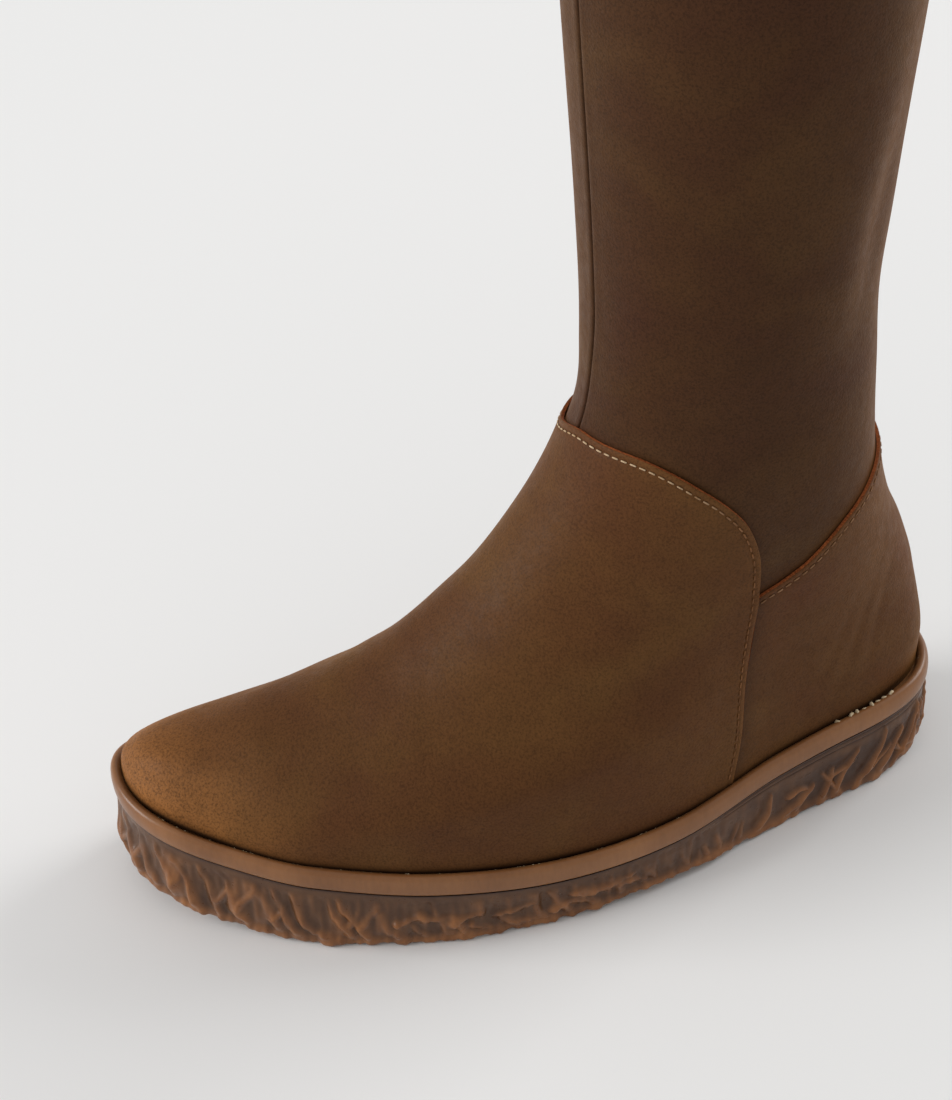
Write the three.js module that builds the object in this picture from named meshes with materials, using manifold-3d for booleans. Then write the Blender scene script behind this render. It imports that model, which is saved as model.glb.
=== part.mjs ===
// Knee-high leather boot for the left foot, standing empty on its sole.
// Millimetres, +Z up, toe toward -Y, outer (lateral) side toward +X, origin on the floor below the middle.
import * as THREE from 'three';
import Module from 'manifold-3d';
import { mergeGeometries, mergeVertices } from 'three/addons/utils/BufferGeometryUtils.js';

const wasm = await Module();
wasm.setup();

// Driving dimensions
const SOLE_LENGTH = 275;
const COLLAR_HEIGHT = 400;
const WALL = 2;                 // leather with its lining
const PANEL = 1.3;              // an overlay panel
const GAP = 0.3;                // between neighbouring pieces
const BAND = 8;                 // height of the rolled rim band
const CUP_DEPTH = 5.5;          // how far the upper stands down inside the rim
const INSOLE = 3;
const TREAD = 3;                // depth of the lugs under the sole
const LIP = 1.2;                // from the ground up to the lower edge of the tread wall
const RIB_PROUD = 1.6;          // how far the root ribs stand out of the tread wall
const WALL_TOP = 1;             // inset of the tread wall under the band
const WALL_FOOT = 3;            // inset of its lower edge
const RIBS = 36;
const LUG_WIDTH = 8.5;
const LUG_PITCH = 17;
const LUG_FIRST = -118;
const LUG_LAST = 122;
const RIM_WIDTH = 5.5;          // from the sole's edge in to the upper's surface
const ZIP_CHAIN = 6;            // width of the closed teeth
const ZIP_TAPE = 22;            // width of the tape behind the slit
const ZIP_FOOT = 56;            // height where the slit ends
const TAPE_THICK = 0.9;
const CHAIN_SUNK = -0.4;        // face of the teeth, below the leather
const HALF = SOLE_LENGTH / 2;
const AROUND = 36;              // faces round the upper
const AROUND_SOLE = 48;         // faces round the sole

// The sole, from toe to heel: its two sides before the ends are rounded, the line on which the ends close,
// the top of the rim, and the ground surface with its toe spring, arch and two flat spots.
const SOLE_ROWS = [
  { at: -HALF, medial: -51, lateral: 16, centre: -20, rim: 42.5, ground: 8.5 },
  { at: -112, medial: -45, lateral: 24, centre: -12, rim: 37, ground: 3 },
  { at: -85, medial: -40.5, lateral: 37, centre: -4, rim: 32.5, ground: 0 },
  { at: -50, medial: -40.5, lateral: 49, centre: 3, rim: 28.5, ground: 0 },
  { at: -10, medial: -36, lateral: 54, centre: 6, rim: 25.5, ground: 0 },
  { at: 30, medial: -28, lateral: 51, centre: 8, rim: 26.5, ground: 2.5 },
  { at: 70, medial: -28, lateral: 39, centre: 5, rim: 31, ground: 0 },
  { at: 110, medial: -31.4, lateral: 30.6, centre: 0, rim: 34.3, ground: 0 },
  { at: HALF, medial: -33, lateral: 28, centre: -3, rim: 35.5, ground: 6 },
];
const TOE_ROUND = 52;
const HEEL_ROUND = 36;
const SOLE_POWER = 2.3;

// The upper, from the edge inside the rim to the collar. Each row is one loop round the foot or leg: its front and
// back points, how long its rounded front and back are as shares of the loop, how square they are, how much its
// sides follow the foot (1) or the leg's own half widths (0), and how much it follows the rim's rise and fall.
const EDGE = HALF - RIM_WIDTH;
const RIM_TOE = 42.3;
const RIM_HEEL = 35.4;
const UPPER_ROWS = [
  { at: 0, fx: -20, fy: -EDGE, fz: RIM_TOE - CUP_DEPTH, bx: -3, by: EDGE, bz: RIM_HEEL - CUP_DEPTH,
    nose: 0.19, tail: 0.13, power: 2.3, foot: 1, lateral: 30, medial: 30, rim: 1 },
  { at: 1, fx: -20, fy: -EDGE, fz: RIM_TOE + GAP, bx: -3, by: EDGE + 0.5, bz: RIM_HEEL + GAP,
    nose: 0.19, tail: 0.14, power: 2.3, foot: 1, lateral: 32, medial: 30, rim: 1 },
  { at: 2, fx: -18, fy: -130.5, fz: 47, bx: -3, by: 133.5, bz: 46,
    nose: 0.22, tail: 0.15, power: 2.25, foot: 1, lateral: 34, medial: 32, rim: 0.8 },
  { at: 3, fx: -14, fy: -123, fz: 53, bx: -3, by: 132.2, bz: 57,
    nose: 0.36, tail: 0.17, power: 2.1, foot: 1, lateral: 36, medial: 34, rim: 0.5 },
  { at: 4, fx: -9, fy: -104, fz: 57.5, bx: -3, by: 130, bz: 68,
    nose: 0.56, tail: 0.2, power: 2, foot: 0.96, lateral: 38, medial: 36, rim: 0.2 },
  { at: 5, fx: -5, fy: -72, fz: 66, bx: -2, by: 127, bz: 79,
    nose: 0.68, tail: 0.24, power: 2, foot: 0.9, lateral: 40, medial: 38, rim: 0.05 },
  { at: 6, fx: -2, fy: -34, fz: 84, bx: -1, by: 122.8, bz: 91,
    nose: 0.66, tail: 0.29, power: 2, foot: 0.72, lateral: 41, medial: 39, rim: 0 },
  { at: 7, fx: 1, fy: -3, fz: 118, bx: 0, by: 116, bz: 107,
    nose: 0.58, tail: 0.36, power: 2, foot: 0.38, lateral: 41, medial: 40, rim: 0 },
  { at: 8, fx: 3, fy: 15, fz: 149, bx: 0, by: 111.3, bz: 128,
    nose: 0.52, tail: 0.44, power: 2, foot: 0.1, lateral: 41, medial: 40, rim: 0 },
  { at: 9, fx: 3, fy: 20, fz: 178, bx: 0, by: 110, bz: 160,
    nose: 0.5, tail: 0.5, power: 2, foot: 0, lateral: 41, medial: 40, rim: 0 },
  { at: 10, fx: 2, fy: 20.5, fz: 220, bx: 0, by: 111.5, bz: 210,
    nose: 0.5, tail: 0.5, power: 2, foot: 0, lateral: 43, medial: 42, rim: 0 },
  { at: 11, fx: 1, fy: 19, fz: 280, bx: 0, by: 118.5, bz: 278,
    nose: 0.5, tail: 0.5, power: 2, foot: 0, lateral: 47, medial: 46, rim: 0 },
  { at: 12, fx: 0, fy: 18, fz: 345, bx: 0, by: 126.5, bz: 345,
    nose: 0.5, tail: 0.5, power: 2, foot: 0, lateral: 51, medial: 50, rim: 0 },
  { at: 13, fx: 0, fy: 17, fz: COLLAR_HEIGHT, bx: 0, by: 132, bz: COLLAR_HEIGHT,
    nose: 0.5, tail: 0.5, power: 2, foot: 0, lateral: 54, medial: 53, rim: 0 },
];
const TOP = UPPER_ROWS.length - 1;
const RIM_LEVEL = 1;
const PANEL_TOP = 10;            // row above the overlay panels

// Seam lines seen from the side, as y and z
const VAMP_EDGE = [
  [47, 0], [50.5, 26], [54, 45], [55.5, 68], [57.4, 83], [59.4, 99], [59.8, 110],
  [58.8, 119], [55, 130], [48.5, 138.5], [41, 145], [34, 149.8], [27, 152.6], [19, 153], [10, 151.5],
];
const COUNTER_TOP = [
  [60.4, 100.6], [67, 103.2], [74, 107], [81, 112.8], [88, 118.8], [96, 123.7], [104, 128], [113, 132], [125, 137],
];

const LEATHER = new THREE.MeshStandardMaterial({ color: 0x6b4a2e, roughness: 0.72, metalness: 0 });
const LEATHER_TOE = new THREE.MeshStandardMaterial({ color: 0x7a5230, roughness: 0.7, metalness: 0 });
const RUBBER_RIM = new THREE.MeshStandardMaterial({ color: 0x8a6242, roughness: 0.45, metalness: 0 });
const RUBBER_TREAD = new THREE.MeshStandardMaterial({ color: 0x6e4b33, roughness: 0.4, metalness: 0 });
const FOOTBED = new THREE.MeshStandardMaterial({ color: 0xa98a66, roughness: 0.85, metalness: 0 });
const TAPE = new THREE.MeshStandardMaterial({ color: 0x2a1c14, roughness: 0.8, metalness: 0 });
const METAL = new THREE.MeshStandardMaterial({ color: 0x7a6a52, roughness: 0.35, metalness: 1 });

// ---- helpers -----------------------------------------------------------------------------------------------------

/** One named column at a station, on a smooth line through the rows. */
function column(rows, name, at) {
  const next = rows.findIndex((row) => row.at > at);
  const i = next < 0 ? rows.length - 2 : Math.max(0, next - 1);
  const slope = (k) => {
    const before = rows[Math.max(0, k - 1)];
    const after = rows[Math.min(rows.length - 1, k + 1)];
    return (after[name] - before[name]) / (after.at - before.at);
  };
  const span = rows[i + 1].at - rows[i].at;
  const t = THREE.MathUtils.clamp((at - rows[i].at) / span, 0, 1);
  const hermite = (2 * t ** 3 - 3 * t ** 2 + 1) * rows[i][name] + (3 * t ** 2 - 2 * t ** 3) * rows[i + 1][name];
  return hermite + span * ((t ** 3 - 2 * t ** 2 + t) * slope(i) + (t ** 3 - t ** 2) * slope(i + 1));
}

const rimTop = (y) => column(SOLE_ROWS, 'rim', y);
const ground = (y) => Math.max(0, column(SOLE_ROWS, 'ground', y));

/** Width share near a rounded end: 0 at the end, 1 from `length` on. */
function rounded(distance, length, power) {
  const d = THREE.MathUtils.clamp(1 - distance / length, 0, 1);
  return (1 - d ** power) ** (1 / power);
}

/** Turns a closed geometry into a solid. */
function solid(geometry) {
  const bare = geometry.clone();
  bare.deleteAttribute('normal');
  bare.deleteAttribute('uv');
  const merged = mergeVertices(bare, 1e-4);
  return new wasm.Manifold(new wasm.Mesh({
    numProp: 3,
    vertProperties: new Float32Array(merged.attributes.position.array),
    triVerts: new Uint32Array(merged.index.array),
  }));
}

/** Turns a solid back into a geometry. */
function geometryOf(manifold) {
  const mesh = manifold.getMesh();
  const geometry = new THREE.BufferGeometry();
  geometry.setAttribute('position', new THREE.BufferAttribute(mesh.vertProperties, 3));
  geometry.setIndex(new THREE.BufferAttribute(mesh.triVerts, 1));
  geometry.computeVertexNormals();
  return geometry;
}

/** Skin over loops of points, each counterclockwise from above, with capped ends. */
function loft(loops) {
  const size = loops[0].length;
  const faces = [];
  for (let k = 0; k < loops.length - 1; k += 1) {
    const lower = k * size;
    const upper = lower + size;
    for (let j = 0; j < size; j += 1) {
      const next = (j + 1) % size;
      faces.push(lower + j, lower + next, upper + next, lower + j, upper + next, upper + j);
    }
  }
  faces.push(...cap(size, 0, true), ...cap(size, (loops.length - 1) * size, false));
  const geometry = new THREE.BufferGeometry().setFromPoints(loops.flat());
  geometry.setIndex(faces);
  return geometry;
}

/** Faces of a flat end, as rungs between the two halves of its loop. */
function cap(size, first, down) {
  const faces = [];
  for (let j = 0; j < size / 2; j += 1) {
    const ring = [j, j + 1, size - j - 1, (size - j) % size].map((n) => first + n);
    if (j > 0) faces.push([ring[0], ring[1], ring[3]]);
    if (j < size / 2 - 1) faces.push([ring[1], ring[2], ring[3]]);
  }
  return faces.flatMap(([a, b, c]) => (down ? [a, c, b] : [a, b, c]));
}

/** A slab across the boot in X, from an outline in Y and Z. */
function slab(outline, xFrom, xTo) {
  const shape = new THREE.Shape(outline.map(([y, z]) => new THREE.Vector2(y, z)));
  const geometry = new THREE.ExtrudeGeometry(shape, { depth: xTo - xFrom, bevelEnabled: false, steps: 1 });
  const axes = new THREE.Matrix4().makeBasis(
    new THREE.Vector3(0, 1, 0),
    new THREE.Vector3(0, 0, 1),
    new THREE.Vector3(1, 0, 0),
  );
  geometry.applyMatrix4(axes);
  geometry.translate(xFrom, 0, 0);
  return solid(geometry);
}

/** Extra points on a smooth line through the given ones. */
function smooth(points, count) {
  const curve = new THREE.SplineCurve(points.map(([y, z]) => new THREE.Vector2(y, z)));
  return curve.getPoints(count).map((p) => [p.x, p.y]);
}

// ---- the sole's outline ------------------------------------------------------------------------------------------

/** Sole edge in plan. The angle is 0 at the toe, a half turn at the heel, with the lateral side first. */
function soleEdge(angle, inset = 0) {
  const raw = (a) => {
    const y = -HALF * Math.cos(a);
    const share = rounded(y + HALF, TOE_ROUND, SOLE_POWER) * rounded(HALF - y, HEEL_ROUND, SOLE_POWER);
    const centre = column(SOLE_ROWS, 'centre', y);
    const side = column(SOLE_ROWS, Math.sin(a) >= 0 ? 'lateral' : 'medial', y);
    return new THREE.Vector2(centre + (side - centre) * share, y);
  };
  const along = raw(angle + 0.02).sub(raw(angle - 0.02)).normalize();
  const inward = new THREE.Vector2(-along.y, along.x);
  return raw(angle).addScaledVector(inward, inset);
}

/** A loop round the sole at an inset, each point at the height that `level` gives for its y. */
function soleLoop(inset, level) {
  return Array.from({ length: AROUND_SOLE }, (_, j) => {
    const p = soleEdge((j / AROUND_SOLE) * 2 * Math.PI, inset);
    return new THREE.Vector3(p.x, p.y, level(THREE.MathUtils.clamp(p.y, -HALF, HALF)));
  });
}

// ---- the upper's surface -----------------------------------------------------------------------------------------

/** Point on the upper's outer surface. The row may lie between two rows of the table. */
function skin(row, angle) {
  const value = (name) => column(UPPER_ROWS, name, row);
  const share = (1 - Math.cos(angle)) / 2;
  const lerp = THREE.MathUtils.lerp;
  const y = lerp(value('fy'), value('by'), share);
  const centre = lerp(value('fx'), value('bx'), share);
  const side = Math.sin(angle) >= 0 ? 'lateral' : 'medial';
  const outward = side === 'lateral' ? 1 : -1;
  const footHalf = Math.abs(column(SOLE_ROWS, side, y) - centre) - RIM_WIDTH;
  const half = lerp(value(side), footHalf, value('foot'));
  const power = value('power');
  const ends = rounded(share, value('nose'), power) * rounded(1 - share, value('tail'), power);
  const follow = value('rim');
  const front = value('fz') - follow * rimTop(value('fy'));
  const back = value('bz') - follow * rimTop(value('by'));
  return new THREE.Vector3(centre + outward * half * ends, y, follow * rimTop(y) + lerp(front, back, share));
}

/** The same surface moved out (+) or in (-) along its normal. */
function skinAt(row, angle, offset = 0) {
  const step = 0.05;
  const round = skin(row, angle + step).sub(skin(row, angle - step));
  const low = Math.max(0, row - step);
  const high = Math.min(TOP, row + step);
  const up = skin(high, angle).sub(skin(low, angle));
  const normal = round.cross(up).normalize();
  const point = skin(row, angle).addScaledVector(normal, offset);
  if (row <= RIM_LEVEL || row === TOP) point.z = skin(row, angle).z;
  return point;
}

function skinLoop(row, offset) {
  return Array.from({ length: AROUND }, (_, j) => skinAt(row, (j / AROUND) * 2 * Math.PI, offset));
}

/** Rows from one level to another, so many to each row of the table. */
function levels(from, to, perRow) {
  const count = Math.round((to - from) * perRow);
  return Array.from({ length: count + 1 }, (_, k) => from + ((to - from) * k) / count);
}

/** Closed shell between two offsets of the upper's surface, with the same facets on both faces. */
function shell(rows, inner, outer) {
  const outside = rows.map((row) => skinLoop(row, outer));
  const inside = rows.map((row) => skinLoop(row, inner));
  const layer = rows.length * AROUND;
  const faces = [];
  for (let k = 0; k < rows.length - 1; k += 1) {
    for (let j = 0; j < AROUND; j += 1) {
      const a = k * AROUND + j;
      const b = k * AROUND + ((j + 1) % AROUND);
      const c = b + AROUND;
      const d = a + AROUND;
      faces.push(a, b, c, a, c, d);
      faces.push(layer + a, layer + c, layer + b, layer + a, layer + d, layer + c);
    }
  }
  const top = layer - AROUND;
  for (let j = 0; j < AROUND; j += 1) {
    const next = (j + 1) % AROUND;
    faces.push(j, layer + next, next, j, layer + j, layer + next);
    faces.push(top + j, top + next, layer + top + next, top + j, layer + top + next, layer + top + j);
  }
  const geometry = new THREE.BufferGeometry().setFromPoints([...outside, ...inside].flat());
  geometry.setIndex(faces);
  return solid(geometry);
}

/** Place on the medial side at a given y and z: the table row and the angle there. */
function medialPlace(y, z) {
  let low = 0;
  let high = TOP;
  const angleAt = (row) => {
    const fy = column(UPPER_ROWS, 'fy', row);
    const by = column(UPPER_ROWS, 'by', row);
    return 2 * Math.PI - Math.acos(THREE.MathUtils.clamp(1 - (2 * (y - fy)) / (by - fy), -1, 1));
  };
  for (let i = 0; i < 30; i += 1) {
    const middle = (low + high) / 2;
    if (skin(middle, angleAt(middle)).z < z) low = middle;
    else high = middle;
  }
  return { row: low, angle: angleAt(low) };
}

// ---- leather pieces ----------------------------------------------------------------------------------------------

/** Middle of the zip, seen from the side. */
const zipY = (z) => THREE.MathUtils.mapLinear(z, ZIP_FOOT, COLLAR_HEIGHT, 87, 76);

/** Slab along the zip on the medial side, so wide on each side of its middle. */
function zipStrip(half, foot, top) {
  return slab([
    [zipY(foot) - half, foot],
    [zipY(foot) + half, foot],
    [zipY(top) + half, top],
    [zipY(top) - half, top],
  ], -90, 0);
}

/** Rows of the faceted shells: close together round the foot, further apart up the leg. */
const SHELL_ROWS = [0, RIM_LEVEL, 1.5, 2, 2.5, 3, 3.5, 4, 5, 6, 6.5, 7, 7.5, ...levels(8, TOP, 1)];

function makeUpper() {
  return shell(SHELL_ROWS, -WALL, 0).subtract(zipStrip(ZIP_CHAIN / 2 + GAP, ZIP_FOOT, COLLAR_HEIGHT + 5));
}

function makePanels() {
  const panel = shell(SHELL_ROWS.filter((row) => row >= RIM_LEVEL && row <= PANEL_TOP), GAP, GAP + PANEL);
  const edge = smooth(VAMP_EDGE, 24);
  const front = [...edge, [-160, 150], [-160, 0]];
  const vamp = panel.intersect(slab(front, -90, 90));
  const behind = edge.map(([y, z]) => [y + GAP + 0.1, z]);
  const below = smooth(COUNTER_TOP, 16);
  const start = behind.findIndex(([, z]) => z > below[0][1]);
  const region = [[160, 0], [160, 150], ...below.reverse(), ...behind.slice(0, start).reverse()];
  const slot = zipStrip(ZIP_CHAIN / 2 + 1.5, ZIP_FOOT, COLLAR_HEIGHT);
  const counter = panel.intersect(slab(region, -90, 90)).subtract(slot);
  return { vamp, counter };
}

// ---- sole pieces -------------------------------------------------------------------------------------------------

function makeMidsole() {
  const wall = [
    { inset: 2.4, below: BAND },
    { inset: 0.7, below: BAND - 0.8 },
    { inset: 0, below: BAND - 2.4 },
    { inset: 0, below: 2.2 },
    { inset: 0.7, below: 0.6 },
    { inset: 2, below: 0 },
  ].map(({ inset, below }) => soleLoop(inset, (y) => rimTop(y) - below));
  const block = solid(loft(wall));
  const cupRows = [0, RIM_LEVEL, 1.4];
  const cup = cupRows.map((row) => skinLoop(row, GAP));
  cup[0].forEach((p) => { p.z -= GAP; });
  return block.subtract(solid(loft(cup)));
}

function makeInsole() {
  const loops = [0, INSOLE / (CUP_DEPTH + GAP)].map((row) => skinLoop(row, -WALL - GAP));
  return solid(loft(loops));
}

/** A root-like rib on the tread wall: a slanting bar, thick in the middle and tapered at both ends. */
function rib({ angle, reach, slant, thick }) {
  const at = soleEdge(angle);
  const near = soleEdge(angle + 0.02);
  const along = new THREE.Vector2().subVectors(near, at).normalize();
  const outward = new THREE.Vector2(along.y, -along.x);
  const top = rimTop(at.y) - BAND - 1.2;
  const foot = ground(at.y) + 0.3;
  const loops = [
    { share: 0, swell: 0.5 },
    { share: 0.55, swell: 1 },
    { share: 1, swell: 0.6 },
  ].map(({ share, swell }) => {
    const shift = slant * reach * (share - 0.5);
    const z = foot + (top - foot) * share;
    const wall = -THREE.MathUtils.lerp(WALL_FOOT, WALL_TOP, share);
    const wide = thick * swell;
    const corner = (side, out) => new THREE.Vector3(
      at.x + along.x * (shift + side) + outward.x * (wall + out),
      at.y + along.y * (shift + side) + outward.y * (wall + out),
      z,
    );
    return [
      corner(0, RIB_PROUD * (0.4 + 0.6 * swell)),
      corner(wide, RIB_PROUD * 0.3),
      corner(wide, -2),
      corner(-wide, -2),
      corner(-wide, RIB_PROUD * 0.3),
    ];
  });
  const size = loops[0].length;
  const geometry = new THREE.BufferGeometry().setFromPoints(loops.flat());
  const faces = [];
  for (let k = 0; k < loops.length - 1; k += 1) {
    for (let j = 0; j < size; j += 1) {
      const a = k * size + j;
      const b = k * size + ((j + 1) % size);
      faces.push(a, b, b + size, a, b + size, a + size);
    }
  }
  const end = (loops.length - 1) * size;
  for (let j = 1; j < size - 1; j += 1) faces.push(0, j + 1, j, end, end + j, end + j + 1);
  geometry.setIndex(faces);
  return solid(geometry);
}

/** A wavy bar under the sole, from side to side at one y. */
function lug(y) {
  const steps = 4;
  const edgeGap = WALL_FOOT + 2;
  const share = rounded(y + HALF, TOE_ROUND, SOLE_POWER) * rounded(HALF - y, HEEL_ROUND, SOLE_POWER);
  const centre = column(SOLE_ROWS, 'centre', y);
  const left = centre + (column(SOLE_ROWS, 'medial', y) - centre) * share + edgeGap;
  const right = centre + (column(SOLE_ROWS, 'lateral', y) - centre) * share - edgeGap;
  const line = (side) => Array.from({ length: steps + 1 }, (_, k) => {
    const x = left + ((right - left) * k) / steps;
    return [x, y + 3 * Math.sin(x / 9 + y / 20) + (side * LUG_WIDTH) / 2];
  });
  const outline = [...line(-1), ...line(1).reverse()];
  const at = (drop) => outline.map(([x, py]) => new THREE.Vector3(x, py, ground(py) + drop));
  const bottom = at(0);
  const top = at(TREAD + 2);
  const count = outline.length;
  const geometry = new THREE.BufferGeometry().setFromPoints([...bottom, ...top]);
  const faces = [];
  for (let j = 0; j < count; j += 1) {
    const next = (j + 1) % count;
    faces.push(j, next, count + next, j, count + next, count + j);
  }
  for (let k = 0; k < steps; k += 1) {
    const far = count - 1 - k;
    faces.push(k, far, k + 1, k + 1, far, far - 1);
    faces.push(count + k, count + k + 1, count + far, count + k + 1, count + far - 1, count + far);
  }
  geometry.setIndex(faces);
  return solid(geometry);
}

function makeOutsole() {
  const wall = [
    { inset: WALL_FOOT + 1, level: (y) => ground(y) + LIP },
    { inset: WALL_FOOT, level: (y) => ground(y) + LIP + 1.2 },
    { inset: WALL_TOP, level: (y) => rimTop(y) - BAND - 2 },
    { inset: WALL_TOP + 1, level: (y) => rimTop(y) - BAND - GAP },
  ].map(({ inset, level }) => soleLoop(inset, level));
  const recess = [
    { inset: WALL_FOOT + 7, level: (y) => ground(y) + LIP - 2 },
    { inset: WALL_FOOT + 8, level: (y) => ground(y) + TREAD },
  ].map(({ inset, level }) => soleLoop(inset, level));
  let body = solid(loft(wall)).subtract(solid(loft(recess)));
  for (let k = 0; k < RIBS; k += 1) {
    const wave = (k * 0.618034) % 1;
    body = body.add(rib({
      angle: ((k + 0.35 * wave) / RIBS) * 2 * Math.PI,
      reach: 9,
      slant: wave < 0.5 ? 0.5 + wave : -wave,
      thick: 1.5 + 1.3 * ((k * 0.381966) % 1),
    }));
  }
  for (let y = LUG_FIRST; y < LUG_LAST; y += LUG_PITCH) body = body.add(lug(y));
  return body;
}

// ---- zip ---------------------------------------------------------------------------------------------------------

const SLIDER_HEIGHT = 384;
const AXLE_OUT = 5.2;            // hinge axis above the leather
const AXLE_UP = 1.5;            // and above the slider's middle

/** Tape behind the slit with the closed chain standing in it, as one strip. */
function makeZip() {
  const behind = -WALL - GAP;
  const top = COLLAR_HEIGHT - 2;
  const tape = shell(SHELL_ROWS, behind - TAPE_THICK, behind)
    .intersect(zipStrip(ZIP_TAPE / 2, ZIP_FOOT - 8, top));
  const chain = shell(SHELL_ROWS, behind - TAPE_THICK / 2, CHAIN_SUNK)
    .intersect(zipStrip(ZIP_CHAIN / 2, ZIP_FOOT + GAP, top));
  return tape.add(chain);
}

/** Frame on the leather at the slider: X along the boot, Y up the zip, Z straight out. */
function sliderFrame() {
  const { row, angle } = medialPlace(zipY(SLIDER_HEIGHT), SLIDER_HEIGHT);
  const here = skinAt(row, angle, 0);
  const out = skinAt(row, angle, 1).sub(here);
  const below = medialPlace(zipY(SLIDER_HEIGHT - 20), SLIDER_HEIGHT - 20);
  const up = here.clone().sub(skinAt(below.row, below.angle, 0)).normalize();
  const along = new THREE.Vector3().crossVectors(up, out).normalize();
  out.crossVectors(along, up).normalize();
  return new THREE.Matrix4().makeBasis(along, up, out).setPosition(here);
}

/** Turn about the axle, in degrees, that brings a pull lying along the leather to hang straight down. */
function hangAngle() {
  const down = new THREE.Vector3(0, 0, -1).transformDirection(sliderFrame().invert());
  return -THREE.MathUtils.radToDeg(Math.atan2(down.z, -down.y));
}

const block = (w, h, d, x, y, z) => solid(new THREE.BoxGeometry(w, h, d).translate(x, y, z));
const rod = (radius, length, z) => solid(
  new THREE.CylinderGeometry(radius, radius, length, 14).rotateZ(Math.PI / 2).translate(0, 0, z),
);

function makeSlider() {
  const plate = block(8.6, 13, 2, 0, 0, 1.1);
  const ears = block(1.3, 4.4, 5, 2.9, AXLE_UP, 4).add(block(1.3, 4.4, 5, -2.9, AXLE_UP, 4));
  const axle = rod(0.8, 6.4, AXLE_OUT).translate(0, AXLE_UP, 0);
  return plate.add(ears).add(axle);
}

/** The pull, turned about its axle to hang straight down. */
function makePull() {
  const knuckle = rod(1.9, 3.8, AXLE_OUT);
  const stem = block(3.8, 9, 1.6, 0, -5, AXLE_OUT);
  const tab = block(8, 22, 1.6, 0, -19, AXLE_OUT);
  const eye = rod(1.15, 6, AXLE_OUT);
  const flat = knuckle.add(stem).add(tab).subtract(eye).translate(0, 0, -AXLE_OUT);
  return flat.rotate([hangAngle(), 0, 0]).translate(0, AXLE_UP, AXLE_OUT);
}

// ---- the boot ----------------------------------------------------------------------------------------------------

const boot = new THREE.Group();

function piece(name, geometry, material, parent = boot) {
  const mesh = new THREE.Mesh(geometry, material);
  mesh.name = name;
  parent.add(mesh);
  return mesh;
}

const { vamp, counter } = makePanels();
piece('outsole', geometryOf(makeOutsole()), RUBBER_TREAD);
piece('midsole', geometryOf(makeMidsole()), RUBBER_RIM);
piece('insole', geometryOf(makeInsole()), FOOTBED);
piece('upper', geometryOf(makeUpper()), LEATHER);
piece('vamp', geometryOf(vamp), LEATHER_TOE);
piece('heel_counter', geometryOf(counter), LEATHER);
piece('zip', geometryOf(makeZip()), TAPE);
const slider = new THREE.Group();
slider.applyMatrix4(sliderFrame());
boot.add(slider);
piece('zip_slider', geometryOf(makeSlider()), METAL, slider);
piece('zip_pull', geometryOf(makePull()), METAL, slider);

const box = new THREE.Box3().setFromObject(boot, true);
boot.position.set(-(box.min.x + box.max.x) / 2, -(box.min.y + box.max.y) / 2, -box.min.z);

export default boot;
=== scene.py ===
"""The looks of a knee-high left boot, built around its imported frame.

Shapes are worked out in millimetres, in the boot's own axes: toe toward -Y, outer side toward +X. They are
placed in the frame, in metres, as meshes."""

import math

import bmesh
import bpy
import numpy as np
from mathutils import Matrix, Vector


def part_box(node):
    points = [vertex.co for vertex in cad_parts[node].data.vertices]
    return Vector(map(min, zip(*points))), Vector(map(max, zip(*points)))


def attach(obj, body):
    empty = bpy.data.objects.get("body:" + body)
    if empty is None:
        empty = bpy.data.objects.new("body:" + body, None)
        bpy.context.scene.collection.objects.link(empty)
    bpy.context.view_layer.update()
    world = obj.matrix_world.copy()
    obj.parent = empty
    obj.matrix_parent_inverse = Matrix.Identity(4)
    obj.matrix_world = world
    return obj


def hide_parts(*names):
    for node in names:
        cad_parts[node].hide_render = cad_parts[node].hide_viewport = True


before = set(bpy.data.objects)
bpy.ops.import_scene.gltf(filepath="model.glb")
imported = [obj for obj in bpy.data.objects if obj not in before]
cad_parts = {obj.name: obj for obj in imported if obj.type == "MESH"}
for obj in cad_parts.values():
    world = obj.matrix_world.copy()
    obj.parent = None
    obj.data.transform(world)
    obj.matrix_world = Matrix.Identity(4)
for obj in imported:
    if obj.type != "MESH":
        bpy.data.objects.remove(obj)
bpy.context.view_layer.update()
MM = 0.001
TURN = 2 * math.pi


# ---- the boot's sizes ----

def table(names, rows):
    """Columns by name."""
    return dict(zip(names.split(), np.array(rows, float).T))


HALF = 137.5               # half the sole's length
COLLAR = 400.0             # height of the collar
WALL = 2.0                 # the upper's leather with its lining
PANEL = 1.3                # leather of the vamp and the heel panel
GAP = 0.3                  # between pieces
FACE = GAP + PANEL         # a panel's outer face, from the upper's
BAND = 8.0                 # height of the rim band
RIM_WIDTH = 5.5            # from the band's outer edge to the leather
CUP_DEPTH = 5.5            # from the rim down to the foot of the upper
TREAD = 3.0                # depth of the tread's hollows underneath
BAR_PITCH = 17.0           # from one bar underneath to the next,
BAR_HALF = 3.6             # and half a bar's flat width
BAR_START = 118.0          # how far in front of the middle the bars are counted from
LIP = 1.2                  # height of the wall's rounded foot
WALL_TOP = 1.0             # how far the tread wall stands in from the edge at its top,
WALL_FOOT = 3.0            # and at its foot
TOE_ROUND = 52.0           # length of the sole's rounded toe,
HEEL_ROUND = 36.0          # and of its heel
SOLE_POWER = 2.3           # how square both are
CHAIN = 6.0                # width of the closed zip
TAPE = 22.0                # width of its tape,
TAPE_THICK = 0.9           # and its thickness
TAPE_BELOW = 8.0           # how far the tape runs on under the slit
TOOTH_PITCH = 1.5
TOOTH_OUT = 1.42           # from the zip's middle to the middle of a row of teeth
TOOTH_IN = 1.25            # from the leg's outer face in to the middle of the teeth
ZIP_FOOT = 56.0            # height where the slit ends
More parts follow.
